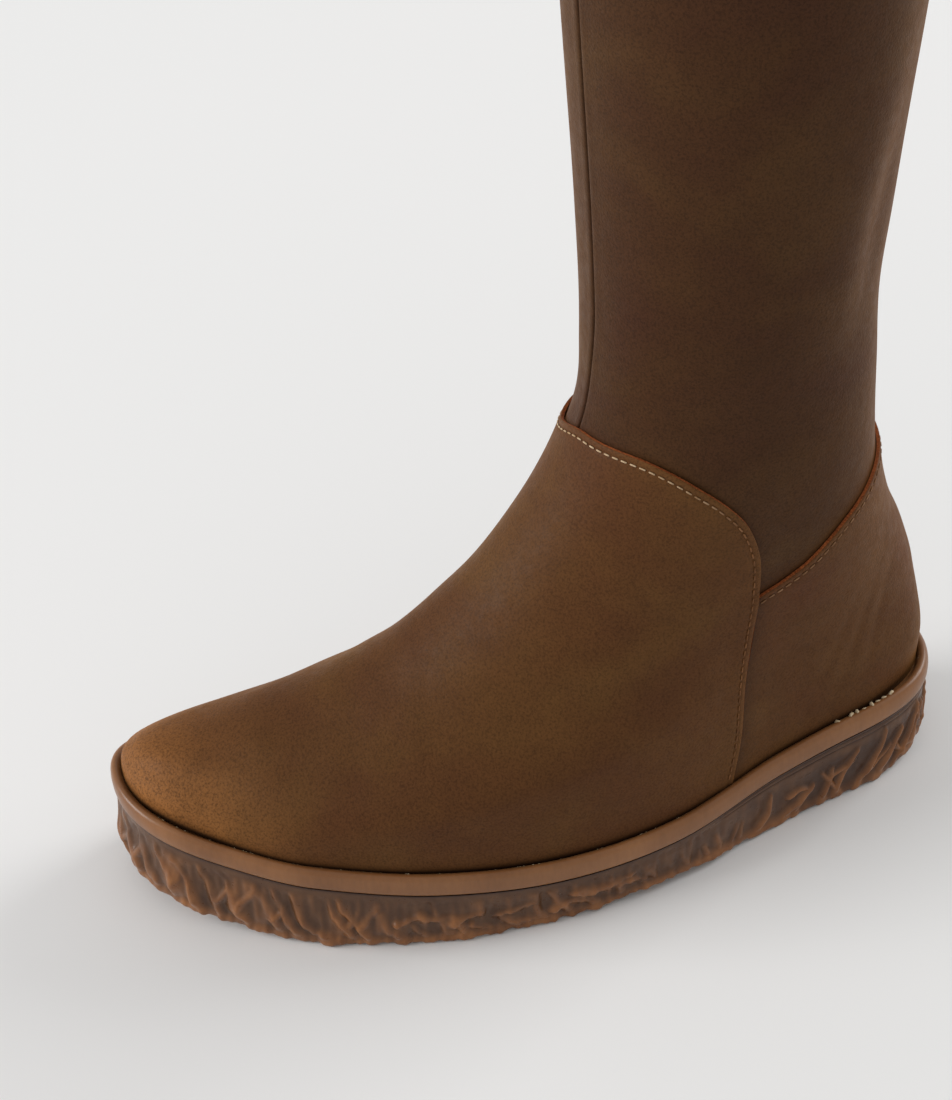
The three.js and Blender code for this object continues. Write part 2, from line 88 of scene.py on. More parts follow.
ZIP_FOOT_Y = 87.0          # place of the zip at its foot
ZIP_TOP_Y = 76.0           # and at the collar
SLIDER_HEIGHT = 384.0
AXLE_OUT = 5.2             # the pull's pin, from the leather
AXLE_UP = 1.5              # and above the slider's middle
STITCH_IN = 2.2            # stitch line, from a panel's edge
COLLAR_GROOVE = 5.0        # a pressed line round the leg, from the collar down
SEAM_STITCH = 2.6          # length of a stitch of the front seam
EDGE = HALF - RIM_WIDTH
RIM_TOE = 42.3             # height of the rim at the toe
RIM_HEEL = 35.4            # and at the heel
TOP = 13.0                 # the collar's row in UPPER

# Sole from toe to heel, by y: its sides, the line on which its ends close, rim height and ground surface
SOLE = table("at medial lateral centre rim ground", [
    (-HALF, -51, 16, -20, 42.5, 8.5),
    (-112, -45, 24, -12, 37, 3),
    (-85, -40.5, 37, -4, 32.5, 0),
    (-50, -40.5, 49, 3, 28.5, 0),
    (-10, -36, 54, 6, 25.5, 0),
    (30, -28, 51, 8, 26.5, 2.5),
    (70, -28, 39, 5, 31, 0),
    (110, -31.4, 30.6, 0, 34.3, 0),
    (HALF, -33, 28, -3, 35.5, 6),
])

# Loops of the upper, from inside the rim to the collar: front point, back point, the rounded shares of front
# and back, how square they are, how far the sides follow the foot, the leg's half widths, and how far the
# loop follows the rim
UPPER = table("at fx fy fz bx by bz nose tail power foot lateral medial rim", [
    (0, -20, -EDGE, RIM_TOE - CUP_DEPTH, -3, EDGE, RIM_HEEL - CUP_DEPTH, .19, .13, 2.3, 1, 30, 30, 1),
    (1, -20, -EDGE, RIM_TOE + GAP, -3, EDGE + .5, RIM_HEEL + GAP, .19, .14, 2.3, 1, 32, 30, 1),
    (2, -18, -130.5, 47, -3, 133.5, 46, .22, .15, 2.25, 1, 34, 32, .8),
    (3, -14, -123, 53, -3, 132.2, 57, .36, .17, 2.1, 1, 36, 34, .5),
    (4, -9, -104, 57.5, -3, 130, 68, .56, .2, 2, .96, 38, 36, .2),
    (5, -5, -72, 66, -2, 127, 79, .68, .24, 2, .9, 40, 38, .05),
    (6, -2, -34, 84, -1, 122.8, 91, .66, .29, 2, .72, 41, 39, 0),
    (7, 1, -3, 118, 0, 116, 107, .58, .36, 2, .38, 41, 40, 0),
    (8, 3, 15, 149, 0, 111.3, 128, .52, .44, 2, .1, 41, 40, 0),
    (9, 3, 20, 178, 0, 110, 160, .5, .5, 2, 0, 41, 40, 0),
    (10, 2, 20.5, 220, 0, 111.5, 210, .5, .5, 2, 0, 43, 42, 0),
    (11, 1, 19, 280, 0, 118.5, 278, .5, .5, 2, 0, 47, 46, 0),
    (12, 0, 18, 345, 0, 126.5, 345, .5, .5, 2, 0, 51, 50, 0),
    (13, 0, 17, COLLAR, 0, 132, COLLAR, .5, .5, 2, 0, 54, 53, 0),
])

# Seam lines seen from the side, as y and z
VAMP_EDGE = [(47, 0), (50.5, 26), (54, 45), (55.5, 68), (57.4, 83), (59.4, 99), (59.8, 110), (58.8, 119),
             (55, 130), (48.5, 138.5), (41, 145), (34, 149.8), (27, 152.6), (19, 153), (10, 151.5)]
COUNTER_TOP = [(52, 96), (60.4, 100.6), (67, 103.2), (74, 107), (81, 112.8), (88, 118.8), (96, 123.7),
               (104, 128), (113, 132), (125, 137)]

# Soft hollows (-) and swellings (+) of the leather on the leg: height, angle round the leg in degrees, half
# length up the leg, half width round it, lean in mm round per mm up, and depth
FOLDS = table("z angle long wide lean depth", [
    (214, 132, 34, 9, 0.10, -1.5),
    (246, 118, 40, 12, 0.16, 0.8),
    (188, 150, 20, 12, -0.2, -1.2),
    (176, 108, 18, 22, 0.5, -0.7),
    (160, 60, 16, 26, -0.6, -0.6),
    (192, 35, 22, 20, 0.3, 0.5),
    (172, 212, 18, 16, 0.4, -1.1),
    (205, 236, 26, 12, -0.1, -1.0),
    (300, 96, 60, 20, 0.05, 0.8),
    (330, 140, 50, 16, 0.1, -0.9),
    (250, 300, 50, 18, 0.1, -0.8),
    (158, 320, 14, 22, 0.5, -0.8),
])


# ---- shape functions ----

def column(rows, name, at):
    """One named column at a station, on a smooth line through the rows."""
    x, v = rows["at"], rows[name]
    at = np.asarray(at, float)
    slope = np.empty(len(x))
    slope[1:-1] = (v[2:] - v[:-2]) / (x[2:] - x[:-2])
    slope[0] = (v[1] - v[0]) / (x[1] - x[0])
    slope[-1] = (v[-1] - v[-2]) / (x[-1] - x[-2])
    i = np.clip(np.searchsorted(x, at, side="right") - 1, 0, len(x) - 2)
    span = x[i + 1] - x[i]
    t = np.clip((at - x[i]) / span, 0, 1)
    line = (2 * t ** 3 - 3 * t ** 2 + 1) * v[i] + (3 * t ** 2 - 2 * t ** 3) * v[i + 1]
    return line + span * ((t ** 3 - 2 * t ** 2 + t) * slope[i] + (t ** 3 - t ** 2) * slope[i + 1])


def smoothstep(t):
    t = np.clip(t, 0, 1)
    return t * t * (3 - 2 * t)


def bell(distance, width):
    return np.exp(-(distance / width) ** 2)


def rounded(distance, length, power):
    """Width share near a rounded end: 0 at the end, 1 from length on."""
    d = np.clip(1 - distance / length, 0, 1)
    return np.maximum(1 - d ** power, 0) ** (1 / power)


def rim_top(y):
    return column(SOLE, "rim", y)


def ground(y):
    return np.maximum(0, column(SOLE, "ground", y))


def unit(v):
    return v / (np.linalg.norm(v, axis=-1, keepdims=True) + 1e-12)


def sole_edge(angle, inset=0.0):
    """Sole edge in plan. The angle is 0 at the toe, a half turn at the heel, with the outer side first."""
    angle = np.asarray(angle, float)

    def raw(a):
        y = -HALF * np.cos(a)
        share = rounded(y + HALF, TOE_ROUND, SOLE_POWER) * rounded(HALF - y, HEEL_ROUND, SOLE_POWER)
        centre = column(SOLE, "centre", y)
        side = np.where(np.sin(a) >= 0, column(SOLE, "lateral", y), column(SOLE, "medial", y))
        return np.stack([centre + (side - centre) * share, y], -1)

    along = unit(raw(angle + 0.02) - raw(angle - 0.02))
    inward = np.stack([-along[..., 1], along[..., 0]], -1)
    return raw(angle) + inward * np.asarray(inset, float)[..., None]


def even_angles(count):
    """Angles evenly spaced along the sole's edge, and the edge's length."""
    fine = np.linspace(0, TURN, 6001)
    path = sole_edge(fine)
    length = np.concatenate([[0], np.cumsum(np.linalg.norm(np.diff(path, axis=0), axis=1))])
    return np.interp(np.arange(count) / count * length[-1], length, fine), length[-1]


def skin(row, angle):
    """Point on the upper's outer surface. The row may lie between two rows of the table."""
    row, angle = np.broadcast_arrays(np.asarray(row, float), np.asarray(angle, float))
    value = {name: column(UPPER, name, row) for name in UPPER if name != "at"}
    share = (1 - np.cos(angle)) / 2
    y = value["fy"] + (value["by"] - value["fy"]) * share
    centre = value["fx"] + (value["bx"] - value["fx"]) * share
    outer = np.sin(angle) >= 0
    side = np.where(outer, column(SOLE, "lateral", y), column(SOLE, "medial", y))
    leg = np.where(outer, value["lateral"], value["medial"])
    half = leg + (np.abs(side - centre) - RIM_WIDTH - leg) * value["foot"]
    ends = rounded(share, value["nose"], value["power"]) * rounded(1 - share, value["tail"], value["power"])
    front = value["fz"] - value["rim"] * rim_top(value["fy"])
    back = value["bz"] - value["rim"] * rim_top(value["by"])
    z = value["rim"] * rim_top(y) + front + (back - front) * share
    return np.stack([centre + np.where(outer, 1, -1) * half * ends, y, z], -1)


def skin_normal(row, angle):
    step = 0.05
    around = skin(row, angle + step) - skin(row, angle - step)
    up = skin(np.minimum(TOP, row + step), angle) - skin(np.maximum(0, row - step), angle)
    return unit(np.cross(around, up))


def skin_at(row, angle, offset=0.0):
    """The upper's surface moved out (+) or in (-) along its normal."""
    row, angle = np.broadcast_arrays(np.asarray(row, float), np.asarray(angle, float))
    base = skin(row, angle)
    point = base + skin_normal(row, angle) * np.broadcast_to(offset, row.shape)[..., None]
    level = (row <= 1) | (row >= TOP)
    point[..., 2] = np.where(level, base[..., 2], point[..., 2])
    return point


def spline(points, count):
    """A finer smooth line through the given points."""
    p = np.array(points, float)
    u = np.linspace(0, len(p) - 1, count)
    i = np.minimum(u.astype(int), len(p) - 2)
    t = (u - i)[:, None]
    a, b, c, d = (p[np.clip(i + k, 0, len(p) - 1)] for k in (-1, 0, 1, 2))
    curve = (2 * a - 5 * b + 4 * c - d) * t ** 2 + (3 * b - a - 3 * c + d) * t ** 3
    return 0.5 * (2 * b + (c - a) * t + curve)


VAMP_LINE = spline(VAMP_EDGE, 90)
SIDE_POINTS = 41           # points of the vamp's line that belong to its side edge


def side_of(line, y, z):
    """Distance in the side view from a line of points, negative on its left-hand side as it runs."""
    a, b = line[:-1], line[1:]
    run = b - a
    p = np.stack([y, z], -1)[..., None, :]
    t = np.clip(((p - a) * run).sum(-1) / (run ** 2).sum(-1), 0, 1)
    gap = p - (a + t[..., None] * run)
    distance = np.linalg.norm(gap, axis=-1)
    nearest = distance.argmin(-1)[..., None]
    cross = run[:, 0] * gap[..., 1] - run[:, 1] * gap[..., 0]
    sign = -np.sign(np.take_along_axis(cross, nearest, -1)[..., 0])
    return sign * np.take_along_axis(distance, nearest, -1)[..., 0]


def first_change(values, rows):
    """The row where values along one line up the boot first change sign, or None."""
    change = np.nonzero(np.sign(values[1:]) != np.sign(values[:-1]))[0]
    if len(change) == 0:
        return None
    k = change[0]
    return rows[k] + (rows[k + 1] - rows[k]) * values[k] / (values[k] - values[k + 1])


def rows_under(line, angle_of, low, high):
    """For each column of a panel, the row where it crosses a side-view line. angle_of gives its angles."""
    rows = np.linspace(low, high, 200)
    p = skin(rows[:, None], angle_of(rows))
    found = []
    for j in range(p.shape[1]):
        row = first_change(side_of(line, p[:, j, 1], p[:, j, 2]), rows)
        found.append(low if row is None else row)
    return np.array(found)


def front_edge(line, top_row):
    """The vamp's side edge as a function that gives its angle at any row, level above one row."""
    at = np.linspace(0, TOP, 131)
    angle = np.full(len(at), 1.9)
    for _ in range(40):
        p = skin(at, angle)
        goal = np.interp(p[:, 2], line[:SIDE_POINTS, 1], line[:SIDE_POINTS, 0])
        angle = angle + np.clip((goal - p[:, 1]) / 120, -0.05, 0.05)
    angle = np.where(at > top_row, np.interp(top_row, at, angle), angle)
    return lambda rows: np.interp(rows, at, angle)


def inset_line(rows, angles, distance):
    """A line on the upper moved along the surface, to its left when seen from outside."""
    p = skin(rows, angles)
    aside = np.cross(skin_normal(rows, angles), unit(np.gradient(p, axis=0))) * distance
    step = 0.02
    slopes = np.stack([skin(rows + step, angles) - p, skin(rows, angles + step) - p], -1) / step
    move = (np.linalg.pinv(slopes) @ aside[..., None])[..., 0]
    return rows + move[:, 0], angles + move[:, 1]


def zip_angle(row, across):
    """Angle on the inner side at a row, so many mm behind the zip's middle."""
    slope = (ZIP_TOP_Y - ZIP_FOOT_Y) / (COLLAR - ZIP_FOOT)
    fy, by, fz, bz = (column(UPPER, name, row) for name in ("fy", "by", "fz", "bz"))
    share = (ZIP_FOOT_Y + slope * (fz - ZIP_FOOT) + across - fy) / (by - fy - slope * (bz - fz))
    return TURN - np.arccos(1 - 2 * np.clip(share, 0.02, 0.98))


def row_at_height(z, angle_of_row, low=0.0, high=TOP):
    """Row where a line up the boot reaches a height."""
    for _ in range(40):
        middle = (low + high) / 2
        if skin(middle, angle_of_row(middle))[2] < z:
            low = middle
        else:
            high = middle
    return low


def zip_middle(row):
    return zip_angle(row, 0.0)


SLIT_ROW = row_at_height(ZIP_FOOT, zip_middle)
ZIP_TOP_ROW = row_at_height(COLLAR - 2, zip_middle)


def seam_angle(height):
    """Where the front seam of the leg runs: off the middle, nearer to it where it dips under the vamp."""
    return np.radians(3 + 5.5 * smoothstep((height - 150) / 45))


# ---- meshes ----

def own_middle():
    """Middle of the sole's box in the boot's own axes, in plan."""
    path = sole_edge(np.linspace(0, TURN, 2000))
    return (path.min(0) + path.max(0)) / 2


SOLE_LOW, SOLE_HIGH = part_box("midsole")
SHIFT = np.append(np.array([(SOLE_LOW[i] + SOLE_HIGH[i]) / 2 / MM for i in range(2)]) - own_middle(), 0.0)


def place(points):
    """From the boot's axes in millimetres to the frame in metres."""
    return (np.asarray(points, float).reshape(-1, 3) + SHIFT) * MM


def stand(name, mesh, materials, crease, body, stands_for):
    """An object of a mesh, smooth up to the crease angle, that rides on a body."""
    mesh.polygons.foreach_set("use_smooth", [True] * len(mesh.polygons))
    mesh.set_sharp_from_angle(angle=math.radians(crease))
    for material in materials:
        mesh.materials.append(material)
    obj = bpy.data.objects.new(name, mesh)
    bpy.context.scene.collection.objects.link(obj)
    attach(obj, body)
    if stands_for:
        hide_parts(stands_for)


def build(name, points, faces, materials, masks=None, stands_for=None, crease=50):
    """A piece of the boot from points and groups of faces, with a material for each group or one for all."""
    corners = np.concatenate([group.ravel() for group in faces])
    used, corners = np.unique(corners, return_inverse=True)
    sizes = np.concatenate([np.full(len(group), group.shape[1]) for group in faces])
    mesh = bpy.data.meshes.new(name)
    co = place(points)[used]
    mesh.vertices.add(len(co))
    mesh.vertices.foreach_set("co", co.ravel())
    mesh.loops.add(len(corners))
    mesh.loops.foreach_set("vertex_index", corners.astype(np.int32))
    mesh.polygons.add(len(sizes))
    mesh.polygons.foreach_set("loop_start", (np.cumsum(sizes) - sizes).astype(np.int32))
    if len(materials) > 1:
        kinds = np.repeat(np.arange(len(faces)), [len(group) for group in faces])
        mesh.polygons.foreach_set("material_index", kinds.astype(np.int32))
    mesh.update(calc_edges=True)
    for mask, values in (masks or {}).items():
        layer = mesh.attributes.new(mask, "FLOAT", "POINT")
        layer.data.foreach_set("value", np.asarray(values, float).ravel()[used].astype(np.float32))
    edit = bmesh.new()
    edit.from_mesh(mesh)
    bmesh.ops.remove_doubles(edit, verts=edit.verts, dist=1e-7)
    bmesh.ops.recalc_face_normals(edit, faces=edit.faces)
    edit.to_mesh(mesh)
    edit.free()
    stand(name, mesh, materials, crease, "boot", stands_for)


def cells(keep, wrap):
    """Corner numbers of the kept cells of a grid, anticlockwise."""
    cols = keep.shape[1] if wrap else keep.shape[1] + 1
    k, j = np.nonzero(keep)
    a = k * cols + j
    b = k * cols + (j + 1) % cols
    return np.stack([a, b, b + cols, a + cols], -1)


def thick_sheet(outer, inner, keep=None, wrap=False):
    """Closed body between two grids: its points, and its faces as outside, inside and edges.

    keep says which cells of the grid are there, all of them unless it is given."""
    if keep is None:
        keep = np.ones((outer.shape[0] - 1, outer.shape[1] - 1), bool)
    count = outer.shape[0] * outer.shape[1]
    quads = cells(keep, wrap)
    none = np.zeros((1, keep.shape[1]), bool)
    gone = np.zeros((keep.shape[0], 1), bool)
    before = keep[:, -1:] if wrap else gone
    after = keep[:, :1] if wrap else gone
    neighbours = [
        np.vstack([none, keep[:-1]]),
        np.hstack([keep[:, 1:], after]),
        np.vstack([keep[1:], none]),
        np.hstack([before, keep[:, :-1]]),
    ]
    walls = []
    for side, neighbour in enumerate(neighbours):
        open_side = ~neighbour[keep]
        p, q = quads[open_side, side], quads[open_side, (side + 1) % 4]
        walls.append(np.stack([q, p, p + count, q + count], -1))
    points = np.concatenate([outer.reshape(-1, 3), inner.reshape(-1, 3)])
    return points, [quads, quads[:, ::-1] + count, np.concatenate(walls)]


def outside_only(mask):
    """A mask for both grids of a thick sheet, empty on the inside."""
    return np.stack([mask, np.zeros(mask.shape)])


def ring(rows, cols):
    """Faces of a closed ring: rows of points that each run round, the last row joined to the first."""
    k = np.arange(rows)[:, None]
    j = np.arange(cols)[None, :]
    after, up = (j + 1) % cols, ((k + 1) % rows) * cols
    return np.stack([k * cols + j, k * cols + after, up + after, up + j], -1).reshape(-1, 4)


def capsule():
    """Points and faces of a small rounded bar along X, of half length 1 and radius 1."""
    sides = 6
    profile = [(-1, 0.35), (-0.82, 0.9), (0, 1), (0.82, 0.9), (1, 0.35)]
    turn = np.arange(sides) / sides * TURN
    points = [(x, t * math.cos(a), t * math.sin(a)) for x, t in profile for a in turn]
    tube = cells(np.ones((len(profile) - 1, sides), bool), wrap=True)
    last = (len(profile) - 1) * sides
    ends = [tuple(reversed(range(sides))), tuple(range(last, last + sides))]
    return np.array(points), tube, np.array(ends)


def bars(centres, along, out, half_length, radius, flat=1.0):
    """Many small rounded bars: each along a direction, with its top out of the surface."""
    points, tube, ends = capsule()
    along = unit(along - (along * out).sum(-1, keepdims=True) * out)
    side = np.cross(out, along)
    size = np.broadcast_to(np.asarray(half_length, float), (len(centres),))[:, None, None]
    thick = np.broadcast_to(np.asarray(radius, float), (len(centres),))[:, None, None]
    x, y, z = points[:, 0][None, :, None], points[:, 1][None, :, None], points[:, 2][None, :, None]
    all_points = (centres[:, None] + along[:, None] * x * size + side[:, None] * y * thick
                  + out[:, None] * z * thick * flat)
    first = (np.arange(len(centres)) * len(points))[:, None, None]
    faces = [(group[None] + first).reshape(-1, group.shape[1]) for group in (tube, ends)]
    return all_points.reshape(-1, 3), faces


def along_surface(rows, angles, offset, pitch):
    """Even places along a line on the upper: points, directions along it, and directions out of it."""
    path = skin_at(rows, angles, offset)
    length = np.concatenate([[0], np.cumsum(np.linalg.norm(np.diff(path, axis=0), axis=1))])
    count = max(2, int(length[-1] / pitch))
    at = (np.arange(count) + 0.5) * length[-1] / count
    row, angle = np.interp(at, length, rows), np.interp(at, length, angles)
    lift = np.interp(at, length, np.broadcast_to(offset, len(rows)))
    centre = skin_at(row, angle, lift)
    tangent = np.stack([np.interp(at, length, np.gradient(path[:, i], length)) for i in range(3)], -1)
    return centre, unit(tangent), skin_normal(row, angle)


# ---- materials ----

def srgb(*values):
    """A colour as seen on screen, 0 to 255, in the linear numbers that shaders take."""
    v = np.array(values) / 255
    return tuple(np.where(v <= 0.04045, v / 12.92, ((v + 0.055) / 1.055) ** 2.4)) + (1.0,)


class Shader:
    """A procedural material, built up from short calls. Sizes are in millimetres."""

    def __init__(self, name):
        self.material = bpy.data.materials.new(name)
        self.material.use_nodes = True
        self.tree = self.material.node_tree
        self.base = self.tree.nodes["Principled BSDF"]
        self.place = self.new("TexCoord").outputs["Object"]

    def put(self, socket, value):
        if isinstance(value, bpy.types.NodeSocket):
            self.tree.links.new(value, socket)
        else:
            socket.default_value = value

    def new(self, kind, **inputs):
        node = self.tree.nodes.new("ShaderNode" + kind)
        for name, value in inputs.items():
            self.put(node.inputs[name], value)
        return node

    def set(self, **values):
        for name, value in values.items():
            self.put(self.base.inputs[name.replace("_", " ")], value)

    def stretched(self, x, y, z):
        return self.new("Mapping", Scale=(x, y, z), Vector=self.place).outputs["Vector"]

    def noise(self, size, detail=3.0, roughness=0.5, distortion=0.0, place=None):
        return self.new("TexNoise", Vector=place or self.place, Scale=1 / (size * MM), Detail=detail,
                        Roughness=roughness, Distortion=distortion).outputs["Fac"]

    def cells(self, size):
        return self.new("TexVoronoi", Vector=self.place, Scale=1 / (size * MM)).outputs["Distance"]

    def mask(self, name):
        node = self.new("Attribute")
        node.attribute_name = name
        return node.outputs["Fac"]

    def steps(self, value, *stops):
        """A value spread over greys or colours: pairs of a position and a grey or three screen values."""
        node = self.new("ValToRGB", Fac=value)
        ramp = node.color_ramp.elements
        while len(ramp) < len(stops):
            ramp.new(0.5)
        for element, (position, colour) in zip(ramp, stops):
            element.position = position
            element.color = srgb(*colour) if isinstance(colour, tuple) else (colour, colour, colour, 1)
        return node.outputs["Color"]

    def mottled(self, size, detail, roughness, dark, light, low=0.3, high=0.7):
        """Noise spread between two greys or colours."""
        return self.steps(self.noise(size, detail, roughness), (low, dark), (high, light))

    def mix(self, share, a, b, mode="MIX"):
        node = self.new("Mix")
        node.data_type = "RGBA"
        node.blend_type = mode
        for key, value in ((0, share), (6, a), (7, b)):
            self.put(node.inputs[key], value)
        return node.outputs[2]

    def times(self, colour, shade):
        return self.mix(1.0, colour, shade, "MULTIPLY")

    def math(self, operation, *values):
        node = self.new("Math")
        node.operation = operation
        for socket, value in zip(node.inputs, values):
            self.put(socket, value)
        return node.outputs[0]

    def bump(self, height, depth, below=None):
        """Relief of a height field, its full range so many millimetres deep."""
        node = self.new("Bump", Height=height, Distance=depth * MM, Strength=1.0)
        if below is not None:
            self.put(node.inputs["Normal"], below)
        self.put(self.base.inputs["Normal"], node.outputs["Normal"])
        return node.outputs["Normal"]


def leather(name, dark, middle, light, tan):
    """Oiled nubuck: clouded colour, fine dark speckle, tan where worn, painted shade in seams and at panel
    joints, with a soft nap.
    """
    s = Shader(name)
    clouds = s.noise(46, 4, 0.5, 0.3, place=s.stretched(1, 1, 1.5))
    colour = s.steps(clouds, (0.26, dark), (0.5, middle), (0.76, light))
    colour = s.times(colour, s.mottled(8, 4, 0.6, 0.94, 1.05, 0.32, 0.68))
    worn = s.math("MULTIPLY", s.mask("tan"), s.math("MULTIPLY_ADD", s.noise(14, 5, 0.6), 1.1, 0.15))
    colour = s.mix(s.math("MINIMUM", worn, 1.0), colour, srgb(*tan))
    speckle = s.steps(s.noise(0.75, 3, 0.7), (0.36, 0.5), (0.52, 1.0), (0.7, 1.18))
    amount = s.math("MULTIPLY_ADD", s.mask("tan"), 0.35, 0.62)
    colour = s.mix(amount, colour, s.times(colour, speckle))
    # painted shade from the dark mask: seams, the rim joint and the heel panel beside the vamp's edge
    colour = s.mix(s.mask("dark"), colour, srgb(30, 17, 9))
    s.set(Base_Color=colour, Roughness=s.mottled(3.2, 4, 0.6, 0.44, 0.6), Sheen_Weight=0.3,
          Sheen_Roughness=0.35, Sheen_Tint=srgb(222, 150, 72), Specular_IOR_Level=0.09)
    grain = s.bump(s.cells(0.9), 0.05)
    grain = s.bump(s.noise(0.5, 3, 0.6), 0.06, grain)
    s.bump(s.noise(7, 3, 0.5), 0.12, grain)
    return s.material


def raw_edge():
    """Cut leather edge: rusty fibres."""
    s = Shader("raw_edge")
    fibres = s.steps(s.noise(0.6, 4, 0.7), (0.3, (92, 44, 20)), (0.6, (166, 90, 45)), (0.8, (196, 118, 66)))
    s.set(Base_Color=fibres, Roughness=0.85, Specular_IOR_Level=0.2)
    s.bump(s.noise(0.35, 3, 0.6), 0.08)
    return s.material


def lining():
    """Undyed lining leather with fine pores."""
    s = Shader("lining_leather")
    tone = s.mottled(14, 4, 0.55, (150, 116, 82), (186, 152, 114))
    pores = s.mottled(0.9, 2, 0.5, 0.72, 1.0, 0.34, 0.46)
    s.set(Base_Color=s.mix(0.8, tone, s.times(tone, pores)), Roughness=0.78, Specular_IOR_Level=0.25,
          Sheen_Weight=0.15)
    s.bump(s.cells(1.1), 0.05)
    return s.material


def thread():
    """Stitching thread: pale over the instep, darker down the sides."""
    s = Shader("stitch_thread")
    pale = s.mottled(5, 3, 0.6, (166, 132, 94), (208, 184, 152), 0.35, 0.65)
    tan = s.mottled(5, 3, 0.6, (100, 64, 36), (134, 90, 53), 0.35, 0.65)
    s.set(Base_Color=s.mix(s.mask("pale"), tan, pale), Roughness=0.7, Specular_IOR_Level=0.2)
    s.bump(s.noise(0.3, 2, 0.5), 0.05)
    return s.material


def rim_rubber():
    """Smooth caramel rubber of the rolled band, dusty where it meets the leather, with painted shade along
    its lower edge.
    """
    s = Shader("rim_rubber")
    streak = s.steps(s.noise(1.4, 4, 0.6, place=s.stretched(1, 1, 0.2)), (0.35, 0.93), (0.65, 1.05))
    colour = s.times(s.mottled(26, 4, 0.5, (124, 81, 47), (146, 99, 60)), streak)
    dust = s.math("MULTIPLY", s.mask("joint"), s.mottled(0.9, 4, 0.7, 0.0, 1.0, 0.6, 0.7))
    colour = s.mix(s.math("MULTIPLY", dust, 0.7), colour, srgb(206, 190, 160))
    # painted shade in the gap along the band's lower edge
    colour = s.mix(s.mask("painted_shade"), colour, srgb(48, 24, 14))
    s.set(Base_Color=colour, Roughness=s.mottled(5, 3, 0.5, 0.28, 0.38), Specular_IOR_Level=0.4,
          Subsurface_Weight=0.05, Subsurface_Radius=(1.0, 0.5, 0.25), Subsurface_Scale=0.002)
    s.bump(s.noise(2.4, 3, 0.5), 0.03)
    return s.material


def tread_rubber():
    """Brown rubber of the tread with painted shade: darker in its hollows, caramel on the ridges."""
    s = Shader("tread_rubber")
    hollow = s.mottled(7, 4, 0.6, (78, 50, 31), (98, 67, 43))
    ridge = s.mottled(6, 4, 0.6, (120, 75, 41), (152, 100, 57))
    # painted shade: the hollow colour where the relief is low, the ridge colour where it stands out
    colour = s.mix(s.mask("ridge"), hollow, ridge)
    # painted shade in the moulded lines, under the band and between the heel's twigs
    colour = s.mix(s.mask("painted_shade"), colour, srgb(46, 24, 15))
    s.set(Base_Color=colour, Roughness=s.mottled(3, 3, 0.6, 0.26, 0.4), Specular_IOR_Level=0.36,
          Subsurface_Weight=0.06, Subsurface_Radius=(1.0, 0.5, 0.25), Subsurface_Scale=0.003)
    s.bump(s.noise(1.6, 4, 0.6), 0.1)
    return s.material


def tape_cloth():
    """Dark woven tape."""
    s = Shader("tape_cloth")
    weave = s.math("SINE", s.math("MULTIPLY", s.noise(0.8, 1, 0.4, place=s.stretched(1, 3, 1)), 40.0))
    s.set(Base_Color=s.steps(weave, (0.2, (26, 18, 14)), (0.8, (54, 38, 28))), Roughness=0.85,
          Sheen_Weight=0.3)
    s.bump(weave, 0.06)
    return s.material


def plain(name, noise, dark, light, roughness, specular, bump):
    """Mottled between two colours. A noise is its size, detail and roughness, and a bump has a depth too."""
    s = Shader(name)
    s.set(Base_Color=s.mottled(*noise, dark, light), Roughness=roughness, Specular_IOR_Level=specular)
    s.bump(s.noise(*bump[:3]), bump[3])
    return s.material


def old_brass(name):
    """Dull, darkened brass."""
    s = Shader(name)
    s.set(Base_Color=s.mottled(4, 4, 0.6, (84, 66, 44), (140, 114, 78)), Metallic=1.0,
          Roughness=s.mottled(1.5, 4, 0.7, 0.26, 0.48))
    s.bump(s.noise(0.9, 3, 0.6), 0.015)
    return s.material


LEATHER_LEG = leather("leather_leg", (66, 39, 24), (70, 44, 24), (79, 53, 28), (120, 75, 40))
LEATHER_VAMP = leather("leather_vamp", (85, 51, 28), (91, 58, 30), (100, 68, 34), (152, 99, 52))
LEATHER_HEEL = leather("leather_heel", (86, 50, 28), (86, 54, 28), (96, 64, 33), (130, 80, 42))
RAW_EDGE = raw_edge()
LINING = lining()
THREAD = thread()
RIM_RUBBER = rim_rubber()
TREAD_RUBBER = tread_rubber()
TAPE_CLOTH = tape_cloth()
TEETH = plain("teeth_plastic", (2, 3, 0.6), (40, 27, 20), (70, 50, 38), 0.38, 0.5, (0.5, 2, 0.5, 0.02))
CRUMB = plain("dust_crumbs", (0.8, 3, 0.6), (176, 150, 110), (226, 210, 178), 0.7, 0.5, (0.3, 2, 0.5, 0.04))
FLOOR = plain("floor_paint", (900, 2, 0.4), (236, 236, 235), (239, 238, 237), 0.7, 0.15, (3, 2, 0.4, 0.01))


# ---- the leather pieces ----

PITCH = 3.0                # length of a stitch
THREAD_RADIUS = 0.29
PANEL_FOOT = 0.62          # row where both panels start, hidden by the band
CORNER_ROW = 6.0           # row where the vamp's side edge starts to turn over the instep
HEEL_CORNER_ROW = 6.62     # row where the heel panel stops following that edge
SLOT = CHAIN / 2 + 1.5     # half the width of the heel panel's opening for the zip
INNER_DROP = 0.115         # share of its rise by which the vamp's top edge is lower on the inner side,
DROP_START = 0.2           # angle from the front where it starts to drop,
DROP_TURN = 0.65           # and the angle over which it does
BEND_FILL = 1.7            # how far the leather bridges the bend between instep and leg
OVERLAP_RISE = 0.6         # how far the vamp's edge rises over the heel panel


def leg_folds(row, angle):
    """Soft folds of the leg at places on the upper, in mm out of the surface."""
    height, radius = skin(row, angle)[..., 2], column(UPPER, "lateral", row)
    relief = np.zeros(np.shape(height))
    for z, centre, long, wide, lean, depth in zip(*FOLDS.values()):
        away = height - z
        turn = (angle - math.radians(centre) + math.pi) % TURN - math.pi
        relief += depth * bell(away, long) * bell(turn * radius - lean * away, wide)
    return relief


